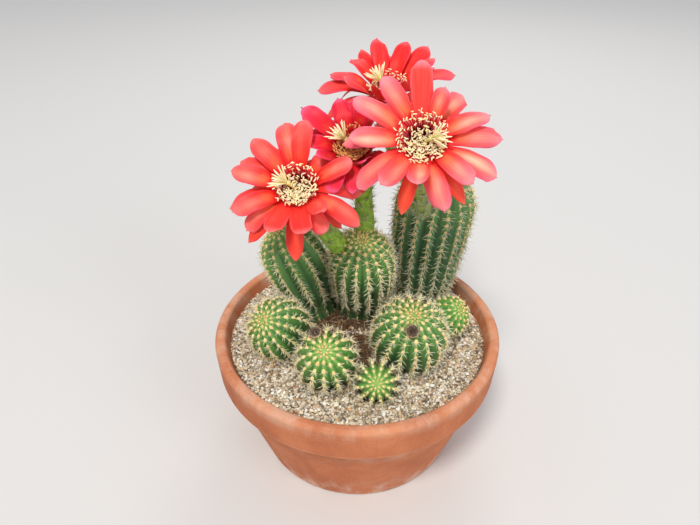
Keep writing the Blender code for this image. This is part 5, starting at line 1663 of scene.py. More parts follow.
def pot_piece():
    h, r = POT_HEIGHT, POT_RIM_RADIUS
    band = h - POT_RIM_BAND
    corners = [
        (DRAIN_RADIUS, 0), (POT_FOOT_RADIUS - 11, 0), (POT_FOOT_RADIUS - 10, 1.1), (POT_FOOT_RADIUS - 3, 1.1),
        (POT_FOOT_RADIUS - 2, 0), (POT_FOOT_RADIUS, 2.0),
        (r - 7.6, band), (r - 2.4, band + 0.6), (r - 1.6, band + 3), (r, h - 3.0),
        (r - 2.2, h), (POT_MOUTH_RADIUS + 2.0, h), (POT_MOUTH_RADIUS, h - 2.0),
        (wall_radius(POT_FLOOR + 2.5), POT_FLOOR + 2.5), (wall_radius(POT_FLOOR) - 2.2, POT_FLOOR),
        (DRAIN_RADIUS, POT_FLOOR),
    ]
    corners = [(DRAIN_RADIUS, 0), (POT_FOOT_RADIUS - 2, 0), (POT_FOOT_RADIUS, 2.0)] + corners[6:]
    soft = [1.0, 0.8, 0.8, 0.5, 1.6, 1.4, 1.8, 2.2, 2.0, 1.5, 1.5, 1.5, 1.0]
    profile = filled(rounded(corners, soft), 2.4)
    around = 144
    a = 2 * math.pi * np.arange(around) / around
    n = len(profile)
    radius, z = np.repeat(profile[:, 0], around), np.repeat(profile[:, 1], around)
    angle = np.tile(a, n)
    outside = (radius > 82 + z * 0.235) & (z > 1.5)
    # faint turning marks and slight unevenness of a thrown pot
    marks = 0.16 * np.sin(2 * math.pi * (z + 1.1 * np.sin(angle)) / 4.6) + 0.07 * np.sin(2 * math.pi * z / 1.9 + 2 * np.sin(angle + 1))
    uneven = noise_field(31, 4, 0.02)(np.stack([radius * np.cos(angle), radius * np.sin(angle), z], 1)) * 0.35 - 0.25
    radius = radius + np.where(outside, (marks + uneven) * np.clip((z - 1.5) / 6, 0, 1), 0)
    points = np.stack([radius * np.cos(angle), radius * np.sin(angle), z], 1)
    quads, spots = grid_faces(n, around)
    j = np.arange(around)
    k = (j + 1) % around
    last = (n - 1) * around
    close = np.stack([last + j, last + k, k, j], 1)
    close_spots = np.stack([np.stack(c, -1) for c in ((j, 0 * j + n - 1), (j + 1, 0 * j + n - 1), (j + 1, 0 * j + n), (j, 0 * j + n))], 1).astype(float)
    span = np.concatenate([[0], np.cumsum(np.linalg.norm(np.diff(np.vstack([profile, profile[:1]]), axis=0), axis=1))])

    def uv(c):
        return np.stack([0.005 + 0.99 * c[..., 0] / around, 0.005 + 0.99 * np.interp(c[..., 1], np.arange(n + 1), span / span[-1])], -1)

    piece = Piece()
    worn = np.zeros(n)
    for at, reach in (((r, h - 3.0), 3.2), ((r - 2.2, h), 3.2), ((POT_MOUTH_RADIUS + 2, h), 3.0), ((r - 2.4, band + 0.6), 2.6), ((POT_FOOT_RADIUS, 2.0), 3.0)):
        worn = np.maximum(worn, np.exp(-(np.linalg.norm(profile - np.array(at), axis=1) / reach) ** 2))
    piece.add(points, [quads, close], [uv(spots), uv(close_spots)], worn=np.repeat(worn, around))
    return piece


def terracotta_look():
    look = Look("terracotta", 0.86, Specular_IOR_Level=0.28)
    place = look.place()
    split = look.node("ShaderNodeSeparateXYZ")
    look.join(place, split.inputs[0])
    height = look.maths("MULTIPLY", split.outputs[2], 1000.0)
    cloud = look.noise(26, 4, 0.6)
    body = look.ramp(cloud, ((0.28, srgb(170, 92, 58)), (0.5, srgb(188, 108, 70)), (0.72, srgb(203, 126, 86))))
    grain = look.noise(1500, 3, 0.7)
    body = look.mix(look.span(grain, 0.35, 0.7, 0.0, 0.32), body, srgb(220, 152, 112))
    body = look.mix(look.span(look.noise(900, 2, 0.6), 0.60, 0.72, 0.0, 0.45), body, srgb(122, 66, 44))
    # lime bloom: pale clouds low on the wall and under the band
    flow = look.noise(1.0, 4, 0.62, look.sum3(
        look.maths("MULTIPLY", split.outputs[0], 55.0), look.maths("MULTIPLY", split.outputs[1], 55.0), look.maths("MULTIPLY", split.outputs[2], 22.0)))
    low = look.span(height, 34, 4, 0.0, 0.75)
    under = look.maths("MULTIPLY", look.span(height, 60, 82), look.span(height, 85.5, 83.5))
    rim = look.span(height, 101, 113, 0.0, 0.45)
    bloom = look.maths("MAXIMUM", look.maths("MAXIMUM", low, look.maths("MULTIPLY", under, 0.5)), rim)
    bloom = look.maths("MULTIPLY", bloom, look.span(flow, 0.40, 0.68))
    bloom = look.maths("MULTIPLY", bloom, look.span(grain, 0.25, 0.6, 0.45, 1.0))
    body = look.mix(bloom, body, srgb(226, 205, 186))
    streak = look.noise(1.0, 3, 0.6, look.sum3(
        look.maths("MULTIPLY", split.outputs[0], 90.0), look.maths("MULTIPLY", split.outputs[1], 90.0), look.maths("MULTIPLY", split.outputs[2], 7.0)))
    body = look.mix(look.span(streak, 0.58, 0.80, 0.0, 0.30), body, srgb(140, 78, 52))
    body = look.mix(look.maths("MULTIPLY", look.value("worn"), look.span(cloud, 0.3, 0.7, 0.15, 0.55)), body, srgb(222, 158, 120))
    look.put("Base Color", body)
    look.put("Roughness", look.span(bloom, 0.0, 1.0, 0.80, 0.95))
    turning = look.node("ShaderNodeTexWave", wave_type="BANDS", bands_direction="Z")
    look.join(place, turning.inputs["Vector"])
    turning.inputs["Scale"].default_value = 190
    turning.inputs["Distortion"].default_value = 2.5
    turning.inputs["Detail"].default_value = 2
    rough = look.maths("MULTIPLY_ADD", turning.outputs["Fac"], 0.30, look.maths("MULTIPLY", grain, 0.9))
    look.bump(rough, 0.28, 0.0005)
    return look.made


def gravel_look():
    look = Look("gravel", 0.72, Specular_IOR_Level=0.35)
    shade = look.colour("shade")
    fleck = look.noise(1900, 3, 0.7)
    body = look.mix(look.span(fleck, 0.30, 0.52, 0.35, 0.0), shade, srgb(132, 114, 94))
    body = look.mix(look.span(fleck, 0.58, 0.78, 0.0, 0.40), body, srgb(240, 232, 214))
    vein = look.noise(520, 2, 0.5)
    body = look.mix(look.span(vein, 0.56, 0.70, 0.0, 0.25), body, srgb(176, 132, 92))
    look.put("Base Color", body)
    look.put("Roughness", look.span(fleck, 0.3, 0.8, 0.85, 0.58))
    look.bump(fleck, 0.35, 0.0003)
    return look.made


def fines_and_gap_shade_look():
    """The fine grit between the gravel's grains; its darker tones also stand in for the shade between the grains, and
    its darkened cell edges are painted shade.
    """
    look = Look("gravel_fines_and_gap_shade", 0.95)
    cell = look.cracks(620, feature="F1", out="Color")
    split = look.node("ShaderNodeSeparateColor")
    look.join(cell, split.inputs[0])
    body = look.ramp(split.outputs[0], ((0.0, srgb(132, 114, 92)), (0.4, srgb(180, 160, 132)), (0.75, srgb(212, 194, 166)), (1.0, srgb(240, 228, 206))))
    # painted shade: the edges of the grit's cells darkened as shade in the cracks between its bits
    edge = look.span(look.cracks(620), 0.25, 0.75, 0.0, 0.7)
    body = look.mix(edge, body, srgb(80, 66, 52))
    look.put("Base Color", body)
    look.bump(look.maths("SUBTRACT", 1.0, look.cracks(620)), 0.9, 0.0009)
    return look.made


def soil_look():
    look = Look("soil", 0.96)
    crumb = look.noise(420, 5, 0.7)
    body = look.ramp(crumb, ((0.3, srgb(34, 25, 18)), (0.55, srgb(62, 46, 34)), (0.8, srgb(104, 84, 64))))
    look.put("Base Color", body)
    look.bump(crumb, 0.9, 0.001)
    return look.made


ICO = None


def ico():
    """The 12 corners and 20 faces of an icosahedron."""
    g = (1 + 5**0.5) / 2
    v = [(-1, g, 0), (1, g, 0), (-1, -g, 0), (1, -g, 0), (0, -1, g), (0, 1, g), (0, -1, -g), (0, 1, -g), (g, 0, -1), (g, 0, 1), (-g, 0, -1), (-g, 0, 1)]
    f = [(0, 11, 5), (0, 5, 1), (0, 1, 7), (0, 7, 10), (0, 10, 11), (1, 5, 9), (5, 11, 4), (11, 10, 2), (10, 7, 6), (7, 1, 8),
         (3, 9, 4), (3, 4, 2), (3, 2, 6), (3, 6, 8), (3, 8, 9), (4, 9, 5), (2, 4, 11), (6, 2, 10), (8, 6, 7), (9, 8, 1)]
    # each face's place in a strip of the bake map: 5 columns of 4 triangles
    places = []
    for n in range(20):
        x, y = n % 10, n // 10
        places.append([(x + 0.06, y + 0.06), (x + 0.94, y + 0.06), (x + 0.5, y + 0.94)])
    return units(np.array(v, float)), np.array(f), np.array(places)


STONES = (  # share and screen colours of the gravel's kinds
    (0.17, (250, 246, 236)), (0.19, (240, 228, 206)), (0.20, (224, 206, 176)), (0.13, (204, 184, 152)),
    (0.09, (186, 178, 164)), (0.07, (162, 144, 118)), (0.05, (132, 120, 106)), (0.05, (222, 182, 136)),
    (0.012, (200, 144, 100)), (0.025, (104, 96, 86)),
)


def grain_piece(places, sizes, seed):
    """Angular stones: places (n, 3) of their centres, sizes (n,) mm."""
    rng = np.random.default_rng(seed)
    corners, faces, spots = ico()
    n = len(places)
    shape = corners[None] * rng.uniform(0.72, 1.18, (n, 12, 1)) * np.stack(
        [rng.uniform(0.85, 1.3, n), rng.uniform(0.75, 1.05, n), rng.uniform(0.50, 0.82, n)], 1)[:, None]
    turn = rng.uniform(0, 2 * math.pi, n)
    tilt, way = rng.normal(0, 0.38, n), rng.uniform(0, 2 * math.pi, n)
    c, s = np.cos(turn), np.sin(turn)
    shape = np.stack([shape[..., 0] * c[:, None] - shape[..., 1] * s[:, None], shape[..., 0] * s[:, None] + shape[..., 1] * c[:, None], shape[..., 2]], -1)
    axis = np.stack([np.cos(way), np.sin(way), 0 * way], 1)[:, None]
    c, s = np.cos(tilt)[:, None, None], np.sin(tilt)[:, None, None]
    shape = shape * c + np.cross(axis, shape) * s + axis * np.sum(axis * shape, -1, keepdims=True) * (1 - c)
    points = places[:, None] + shape * (sizes / 2)[:, None, None]
    kinds = rng.choice(len(STONES), n, p=np.array([k[0] for k in STONES]) / sum(k[0] for k in STONES))
    colours = np.array([srgb(*k[1]) for k in STONES])[kinds] * rng.uniform(0.82, 1.12, (n, 1)) * rng.uniform(0.96, 1.04, (n, 3))
    at, size = cells(n, 1.0)
    uv = (at[:, None, None] + spots[None] / [10.0, 2.0] * size).reshape(-1, 3, 2)
    group = (faces[None] + (np.arange(n) * 12)[:, None, None]).reshape(-1, 3)
    piece = Piece()
    piece.add(points.reshape(-1, 3), [group], [uv], soft=False, shade=np.repeat(np.clip(colours, 0, 1), 12, 0))
    return piece


def outside_of(trees, points):
    """Distance of each point (mm, heights from the gravel's top) to the nearest stem,
    negative inside."""
    far = np.full(len(points), 99.0)
    for tree in trees:
        for i, p in enumerate(points):
            spot, normal, _, distance = tree.find_nearest(Vector(map(float, p)), 12.0)
            if spot is None:
                continue
            sign = 1.0 if (Vector(map(float, p)) - spot).dot(normal) > 0 else -1.0
            if sign * distance < far[i]:
                far[i] = sign * distance
    return far


def gravel_places(trees):
    rng = np.random.default_rng(77)
    pitch, found = 2.12, []
    edge = wall_radius(GRAVEL_TOP) - 0.4
    for row in range(-68, 69):
        for col in range(-60, 61):
            x = (col + 0.5 * (row % 2)) * pitch + rng.uniform(-0.7, 0.7)
            y = row * pitch * 0.866 + rng.uniform(-0.7, 0.7)
            if math.hypot(x, y) < edge - 1.1:
                found.append((x, y, rng.uniform(-0.9, 0.35)))
    found = np.array(found)
    sizes = np.clip(rng.lognormal(math.log(2.45), 0.24, len(found)), 1.5, 4.4)
    extra = []
    for _ in range(1500):
        a, q = rng.uniform(0, 2 * math.pi), math.sqrt(rng.uniform()) * (edge - 2.5)
        extra.append((q * math.cos(a), q * math.sin(a), rng.uniform(0.7, 1.35)))
    extra = np.array(extra)
    more = np.clip(rng.lognormal(math.log(2.3), 0.28, len(extra)), 1.4, 4.6)
    found, sizes = np.vstack([found, extra]), np.concatenate([sizes, more])
    bumps = noise_field(5, 3, 0.055)(np.column_stack([found[:, :2], np.zeros(len(found))])) * 0.55
    found[:, 2] += bumps
    far = outside_of(trees, found + [0, 0, 0.4])
    keep = (far > 0.30 * sizes) & (np.hypot(found[:, 0], found[:, 1]) < edge - 0.45 * sizes)
    return found[keep] + [0, 0, GRAVEL_TOP], sizes[keep]


def ground_piece():
    """The gravel bed under its loose grains: a bumpy disc with an even underside."""
    rings, around = 44, 120
    edge = wall_radius(GRAVEL_TOP) - 0.6
    bumps, fine = noise_field(5, 3, 0.055), noise_field(6, 3, 0.6)
    points, faces = [], []
    a = 2 * math.pi * np.arange(around) / around
    for k in range(rings):
        r = edge * (k + 0.4) / (rings - 0.6)
        xy = np.stack([r * np.cos(a), r * np.sin(a), 0 * a], 1)
        z = -0.75 + 0.55 * bumps(xy) + 0.25 * fine(xy)
        points.append(np.column_stack([xy[:, :2], z + GRAVEL_TOP]))
    low = np.stack([(edge - 0.9) * np.cos(a), (edge - 0.9) * np.sin(a), 0 * a + GRAVEL_TOP - GRAVEL_DEPTH + 0.3], 1)
    points.append(low)
    quads, corners = grid_faces(rings + 1, around)
    j = np.arange(around)
    middle, bottom = j[::-1][None], (rings * around + j)[None]

    def polar(c):
        q = np.clip(c[..., 1] / rings, 0, 1) * 0.47 + 0.012
        t = 2 * math.pi * c[..., 0] / around
        return np.stack([0.5 + q * np.cos(t), 0.5 + q * np.sin(t)], -1)

    disc = np.stack([np.cos(a), np.sin(a)], -1)
    piece = Piece()
    piece.add(np.vstack(points), [quads, middle, bottom], [polar(corners), (0.5 + 0.011 * disc)[::-1][None], (np.array([0.04, 0.04]) + 0.03 * disc)[None]])
    return piece


def scar_piece(name):
    """A withered, crumbly button with a sunken middle."""
    spec = SCARS[name]
    centre, body = np.array(spec["at"], float), STEMS[spec["on"]]
    foot, apex = np.array(body["foot"], float), np.array(body["apex"], float)
    middle = apex - unit(apex - foot) * body["crown"]
    n = unit(unit(centre - middle) + (0.9 if name.endswith("front") else 0.15) * np.array([0.05, -0.76, 0.65]))
    centre = centre + n * (1.6 if name.endswith("front") else 0.0)
    side = unit(np.cross(n, (0, 0, 1.0)))
    over = np.cross(n, side)
    r, around = spec["radius"] * 0.94, 36
    rng = np.random.default_rng(61 + len(name))
    profile = ((-4.6, 0.66), (-2.6, 0.80), (-0.6, 0.95), (0.6, 1.02), (1.5, 1.04), (2.2, 0.97), (2.65, 0.86), (2.7, 0.74), (2.35, 0.60), (1.7, 0.46), (1.35, 0.32), (1.5, 0.18), (1.7, 0.06))
    a = 2 * math.pi * np.arange(around) / around
    crumble = noise_field(17 + len(name), 4, 0.9)
    points, hollow = [], []
    for q, k in profile:
        flake = 1 + 0.05 * np.sin(9 * a + 6 * k) + 0.04 * rng.normal(size=around)
        ring = centre + n * q + (r * k * flake)[:, None] * (np.cos(a)[:, None] * side + np.sin(a)[:, None] * over)
        ring += n * (0.32 * crumble(ring) * (1 if q > 0 else 0))[:, None]
        points.append(ring)
        hollow.append(np.full(around, 1 - k if q > 1.3 and k < 0.9 else 0.0))
    faces, corners = tube_faces(len(profile), around)
    piece = Piece()
    piece.add(np.concatenate(points) + [0, 0, GRAVEL_TOP], faces, [cell_uv(c, (around, len(profile)), (0.02, 0.02), (0.96, 0.96)) for c in corners],
              hollow=np.concatenate(hollow))
    # a fringe of dry bristles round it
    lines = []
    for _ in range(26):
        t = rng.uniform(0, 2 * math.pi)
        out = math.cos(t) * side + math.sin(t) * over
        begin = centre + out * r * rng.uniform(0.85, 1.05) + n * rng.uniform(-0.6, 1.0)
        way = unit(out * rng.uniform(0.3, 1.0) + n * rng.uniform(0.4, 1.0) + np.cross(n, out) * rng.normal(0, 0.4))
        lines.append([begin + way * x * rng.uniform(1.8, 3.6) for x in (0, 0.4, 0.75, 1.0)])
    lines = np.array(lines)
    pts, groups, uv = many_tubes(lines, np.tile([0.15, 0.12, 0.09, 0.04], (len(lines), 1)), 3)
    fringe = Piece()
    fringe.add(pts + [0, 0, GRAVEL_TOP], groups, uv, tint=np.repeat(rng.uniform(0, 1, len(lines)), 12), along=np.tile(np.repeat([0, 0.4, 0.75, 1.0], 3), len(lines)))
    return piece, fringe


def litter_and_gap_shade_height(x, y):
    """Height of the withered heap between the pups, which also fills the gaps between the stems as painted shade."""
    heap = 17.0 * math.exp(-(((x - 8) / 12.0) ** 2 + ((y + 30) / 10.0) ** 2))
    heap += 10.0 * math.exp(-(((x + 6) / 20.0) ** 2 + ((y + 16) / 9.0) ** 2))
    heap += 8.0 * math.exp(-(((x + 26) / 10.0) ** 2 + ((y + 2) / 12.0) ** 2))
    heap += 8.0 * math.exp(-(((x - 33) / 9.0) ** 2 + ((y - 12) / 12.0) ** 2))
    heap += 9.0 * math.exp(-(((x + 17) / 10.0) ** 2 + ((y - 14) / 10.0) ** 2))
    heap += 8.0 * math.exp(-(((x - 3) / 11.0) ** 2 + ((y - 11) / 8.0) ** 2))
    return heap


def litter_and_gap_shade_pieces(trees):
    """Withered flower remains heaped between the pups: a crumbly core, partly painted shade in the gaps between the
    stems, and dry strands.
    """
    rng = np.random.default_rng(41)
    crumble = noise_field(23, 5, 0.35)
    n = 46
    xs, ys = np.linspace(-44, 52, n), np.linspace(-48, 34, n)
    gx, gy = np.meshgrid(xs, ys, indexing="ij")
    heap = np.array([[litter_and_gap_shade_height(x, y) for y in ys] for x in xs])
    top = np.stack([gx, gy, heap - 2.2], -1)
    top[..., 2] += 0.9 * crumble(top.reshape(-1, 3)).reshape(n, n) * np.clip(heap / 5, 0, 1)
    low = np.stack([gx, gy, np.full_like(gx, -3.4)], -1)
    top[..., 2] = np.maximum(top[..., 2], -3.0)
    verts = np.concatenate([top.reshape(-1, 3), low.reshape(-1, 3)])
    i, j = np.meshgrid(np.arange(n - 1), np.arange(n - 1), indexing="ij")
    a = (i * n + j).ravel()
    up = np.stack([a, a + n, a + n + 1, a + 1], 1)
    down = np.stack([a, a + 1, a + n + 1, a + n], 1) + n * n
    i, j = i.ravel(), j.ravel()
    square = np.stack([np.stack(c, -1) for c in ((i, j), (i + 1, j), (i + 1, j + 1), (i, j + 1))], 1) / (n - 1.0)
    sides, spots = [], []
    border = [(k, 0) for k in range(n)] + [(n - 1, k) for k in range(1, n)] + [(k, n - 1) for k in range(n - 2, -1, -1)] + [(0, k) for k in range(n - 2, 0, -1)]
    for m, (p, q) in enumerate(zip(border, border[1:] + border[:1])):
        b, c = p[0] * n + p[1], q[0] * n + q[1]
        sides.append((c, b, b + n * n, c + n * n))
        x, w = m / len(border), 1 / len(border)
        spots.append([(x + w, 0.97), (x, 0.97), (x, 0.99), (x + w, 0.99)])
    core = Piece()
    core.add(verts + [0, 0, GRAVEL_TOP], [up, down, np.array(sides)],
             [square * 0.46 + 0.01, square[:, [0, 3, 2, 1]] * 0.46 + [0.51, 0.01], np.array(spots)], heap=np.concatenate([heap.ravel(), heap.ravel()]))
    lines, radii = [], []
    while len(lines) < 620:
        x, y = rng.uniform(-34, 46), rng.uniform(-42, 26)
        z = litter_and_gap_shade_height(x, y)
        if z < 2.2:
            continue
        spot = np.array([x, y, z - rng.uniform(0.2, 2.2)])
        if outside_of(trees, [spot])[0] < 0.4:
            continue
        t, reach = rng.uniform(0, 2 * math.pi), rng.uniform(3.0, 10.0)
        way = np.array([math.cos(t), math.sin(t), rng.uniform(-0.15, 0.45)])
        swirl = rng.normal(0, 0.35, 3) * reach
        lines.append([spot + way * reach * (q - 0.5) + swirl * (q - 0.5) ** 2 for q in (0, 0.25, 0.5, 0.75, 1.0)])
        thick = rng.uniform(0.16, 0.5)
        radii.append([thick * k for k in (0.5, 0.95, 1.0, 0.8, 0.35)])
    pts, groups, uv = many_tubes(np.array(lines), np.array(radii), 4)
    strands = Piece()
    strands.add(pts + [0, 0, GRAVEL_TOP], groups, uv, tint=np.repeat(rng.uniform(0, 1, len(lines)), 20), along=np.tile(np.repeat([0, 0.25, 0.5, 0.75, 1.0], 4), len(lines)))
    return core, strands


# ---------------------------------------------------------------- more looks
def dry_look(name="withered"):
    look = Look(name, 0.92, Sheen_Weight=0.2)
    fine = look.noise(900, 4, 0.7)
    body = look.ramp(fine, ((0.36, srgb(48, 34, 26)), (0.50, srgb(88, 64, 44)), (0.62, srgb(136, 104, 70)), (0.76, srgb(188, 158, 116))))
    body = look.mix(look.span(look.noise(150, 2), 0.48, 0.68, 0.0, 0.35), body, srgb(96, 66, 44))
    look.put("Base Color", body)
    look.bump(fine, 0.8, 0.0008)
    return look.made


def strand_look():
    look = Look("dry_strands", 0.85)
    tint, along = look.value("tint"), look.value("along")
    body = look.ramp(tint, ((0.0, srgb(76, 52, 36)), (0.34, srgb(122, 84, 52)), (0.64, srgb(170, 126, 80)), (0.88, srgb(216, 186, 140)), (1.0, srgb(168, 158, 140))))
    body = look.mix(look.span(look.noise(800, 3), 0.4, 0.7, 0.0, 0.5), body, srgb(92, 60, 42))
    body = look.mix(look.span(along, 0.8, 1.0, 0.0, 0.35), body, srgb(214, 190, 150))
    look.put("Base Color", body)
    return look.made


def scar_look():
    look = Look("withered_scar", 0.95)
    crumb = look.noise(1300, 4, 0.75)
    body = look.ramp(crumb, ((0.34, srgb(52, 40, 34)), (0.5, srgb(98, 78, 62)), (0.66, srgb(166, 142, 114))))
    hollow = look.value("hollow")
    wavy = look.maths("MULTIPLY_ADD", look.noise(700, 3), 0.5, look.maths("MULTIPLY", hollow, 3.2))
    rings = look.maths("SINE", look.maths("MULTIPLY", wavy, 9.0))
    body = look.mix(look.span(rings, 0.2, 0.9, 0.0, 0.6), body, srgb(48, 36, 32))
    body = look.mix(look.span(hollow, 0.30, 0.75, 0.0, 0.72), body, srgb(38, 27, 26))
    body = look.mix(look.span(hollow, 0.14, 0.0, 0.0, 0.75), body, srgb(214, 192, 156))
    look.put("Base Color", body)
    look.bump(crumb, 1.0, 0.0009)
    return look.made


def tube_look(name, green, pale, red):
    look = Look(name, 0.55, Subsurface_Weight=0.08, Specular_IOR_Level=0.35)
    look.shader.inputs["Subsurface Scale"].default_value = 0.001
    along, inside = look.value("along"), look.value("inside")
    mottle = look.noise(330, 3, 0.6)
    outer = look.mix(look.span(mottle, 0.35, 0.7), green, pale)
    outer = look.mix(look.span(look.maths("MULTIPLY_ADD", look.maths("SUBTRACT", mottle, 0.5), 0.18, along), 0.64, 0.82), outer, red)
    fibre = look.noise(700, 3, 0.6)
    # painted shade: the red inside the throat darkens to near-black brown deeper in the cup
    throat = look.ramp(look.span(along, 0.88, 1.0, 0, 1, smooth=False), ((0.0, srgb(196, 40, 56)), (0.30, srgb(150, 22, 36)), (0.7, srgb(92, 18, 20)), (1.0, srgb(58, 26, 18))))
    throat = look.mix(look.span(fibre, 0.4, 0.7, 0.0, 0.4), throat, srgb(176, 30, 36))
    look.put("Base Color", look.mix(inside, outer, throat))
    look.bump(mottle, 0.4, 0.0006)
    return look.made


def scale_look(name, green, tip, red):
    look = Look(name, 0.55, Subsurface_Weight=0.08)
    along, upper = look.value("along"), look.value("upper")
    body = look.mix(look.span(look.noise(500, 3), 0.35, 0.7), green, tip)
    body = look.mix(look.span(along, 0.45, 1.0, 0.0, 0.7), body, red)
    body = look.mix(look.span(upper, 0.1, 0.7), body, red)
    body = look.mix(look.maths("MULTIPLY", look.value("tint"), 0.3), body, srgb(140, 90, 50))
    look.put("Base Color", body)
    look.bump(look.noise(1500, 2), 0.3, 0.0003)
    return look.made


def hair_look(name, pale, dark):
    look = Look(name, 0.7, Sheen_Weight=0.3)
    body = look.mix(look.value("tint"), pale, dark)
    body = look.mix(look.span(look.value("along"), 0.6, 1.0, 0.0, 0.4), body, srgb(232, 222, 200))
    body = look.mix(look.span(look.noise(600, 2), 0.4, 0.7, 0.0, 0.3), body, dark)
    look.put("Base Color", body)
    return look.made


def stamen_look(name, anther, dusty):
    look = Look(name, 0.6, Subsurface_Weight=0.1)
    look.shader.inputs["Subsurface Scale"].default_value = 0.0008
    along, tint = look.value("along"), look.value("tint")
    thread = look.ramp(along, ((0.0, srgb(120, 8, 26)), (0.40, srgb(220, 40, 74)), (0.75, srgb(248, 110, 130)), (1.0, srgb(255, 190, 176))))
    thread = look.mix(look.span(look.noise(500, 2), 0.35, 0.7, 0.0, 0.3), thread, srgb(150, 16, 30))
    pollen = look.mix(tint, anther, dusty)
    pollen = look.mix(look.span(look.noise(2200, 3, 0.7), 0.4, 0.7, 0.0, 0.55), pollen, dusty)
    look.put("Base Color", look.mix(look.value("anther"), thread, pollen))
    look.bump(look.noise(3000, 2), 0.5, 0.0002)
    return look.made


def stigma_look():
    look = Look("stigma_lobes", 0.55, Subsurface_Weight=0.15, Sheen_Weight=0.15)
    look.shader.inputs["Subsurface Scale"].default_value = 0.001
    along = look.value("along")
    body = look.ramp(along, ((0.0, srgb(190, 60, 60)), (0.10, srgb(226, 140, 90)), (0.18, srgb(244, 226, 140)), (0.42, srgb(250, 242, 160)), (0.7, srgb(255, 253, 196)), (1.0, srgb(255, 255, 222))))
    velvet = look.noise(3500, 3, 0.7)
    body = look.mix(look.span(velvet, 0.35, 0.7, 0.0, 0.25), body, srgb(226, 206, 110))
    look.put("Base Color", body)
    look.bump(velvet, 0.5, 0.0002)
    return look.made


SKINS = {  # young, middle, old, deep (painted shade in the grooves), corky
    "old": (srgb(142, 184, 91), srgb(99, 146, 77), srgb(77, 119, 79), srgb(42, 72, 42), srgb(142, 122, 84)),
    "dark": (srgb(142, 184, 92), srgb(104, 150, 82), srgb(86, 128, 90), srgb(42, 70, 42), srgb(132, 116, 84)),
    "pup": (srgb(146, 192, 92), srgb(96, 146, 74), srgb(76, 118, 72), srgb(46, 86, 40), srgb(146, 124, 84)),
    "young": (srgb(146, 200, 90), srgb(104, 160, 76), srgb(80, 130, 76), srgb(46, 96, 38), srgb(146, 126, 84)),
}

PETALS = {  # base, heart, streak, margin, tip, back
    "flower_right": (srgb(226, 10, 16), srgb(247, 66, 54), srgb(255, 206, 170), srgb(250, 104, 114), srgb(253, 144, 156), srgb(246, 84, 56)),
    "flower_left": (srgb(220, 8, 14), srgb(245, 42, 34), srgb(253, 170, 140), srgb(249, 88, 84), srgb(252, 118, 118), srgb(244, 66, 44)),
    "flower_middle": (srgb(200, 2, 16), srgb(230, 10, 32), srgb(240, 40, 60), srgb(242, 60, 104), srgb(250, 104, 150), srgb(238, 44, 40)),
    "flower_rear": (srgb(206, 4, 10), srgb(232, 18, 16), srgb(248, 92, 78), srgb(246, 78, 88), srgb(250, 108, 116), srgb(240, 56, 40)),
}

SEPALS = {  # the same for the narrow outer petals, which stay more orange
    "flower_right": (srgb(212, 34, 18), srgb(244, 60, 38), srgb(255, 152, 104), srgb(248, 86, 64), srgb(252, 110, 86), srgb(216, 70, 42), srgb(244, 70, 66)),
    "flower_left": (srgb(200, 20, 12), srgb(236, 42, 28), srgb(252, 128, 92), srgb(242, 70, 56), srgb(248, 92, 76), srgb(210, 60, 36), srgb(240, 60, 70)),
    "flower_middle": (srgb(186, 8, 12), srgb(214, 20, 24), srgb(236, 60, 52), srgb(232, 46, 58), srgb(240, 74, 84), srgb(206, 44, 32), srgb(232, 50, 80)),
    "flower_rear": (srgb(194, 12, 10), srgb(222, 30, 20), srgb(248, 110, 80), srgb(236, 66, 56), srgb(244, 92, 80), srgb(208, 54, 34), srgb(240, 60, 80)),
}


# ---------------------------------------------------------------- everything together
def studio():
    scene = bpy.context.scene
    for old in [o for o in bpy.data.objects if o.type in ("CAMERA", "LIGHT")]:
        bpy.data.objects.remove(old)
    camera = bpy.data.objects.new("camera", bpy.data.cameras.new("camera"))
    scene.collection.objects.link(camera)
    camera.location = (-0.006, -0.400, 0.446)
    camera.rotation_euler = (math.radians(90 - 34.0), 0, 0)
    camera.data.lens = 31.6
    camera.data.sensor_width = 36
    camera.data.clip_start = 0.01
    scene.camera = camera
    mesh = bpy.data.meshes.new("floor")
    mesh.from_pydata([(-12, -12, -0.0004), (12, -12, -0.0004), (12, 12, -0.0004), (-12, 12, -0.0004)], [], [(0, 1, 2, 3)])
    floor = bpy.data.objects.new("floor", mesh)
    scene.collection.objects.link(floor)
    look = Look("floor", 0.8)
    look.put("Base Color", (0.66, 0.65, 0.635))
    mesh.materials.append(look.made)
    world = bpy.data.worlds.new("studio")
    scene.world = world
    world.use_nodes = True
    back = world.node_tree.nodes["Background"]
    back.inputs[0].default_value = (0.90, 0.93, 1.0, 1)
    back.inputs[1].default_value = 0.52

    def lamp(name, place, target, size, power, colour):
        data = bpy.data.lights.new(name, "AREA")
        data.shape, data.size, data.energy, data.color = "DISK", size, power, colour
        made = bpy.data.objects.new(name, data)
        made.location = place
        made.rotation_euler = (Vector(target) - Vector(place)).to_track_quat("-Z", "Y").to_euler()
        scene.collection.objects.link(made)

    lamp("key", (-0.85, -2.45, 4.25), (0, 0, 0.15), 1.1, 168, (1.0, 0.96, 0.90))
    lamp("fill", (2.3, -2.2, 1.7), (0, 0, 0.15), 1.8, 30, (0.97, 0.98, 1.0))
    lamp("rim", (0.3, 1.4, 1.3), (0, 0, 0.2), 0.9, 6, (1.0, 0.98, 0.95))
    scene.view_settings.view_transform = "Standard"
    scene.view_settings.look = "None"
    scene.view_settings.exposure = 0.0


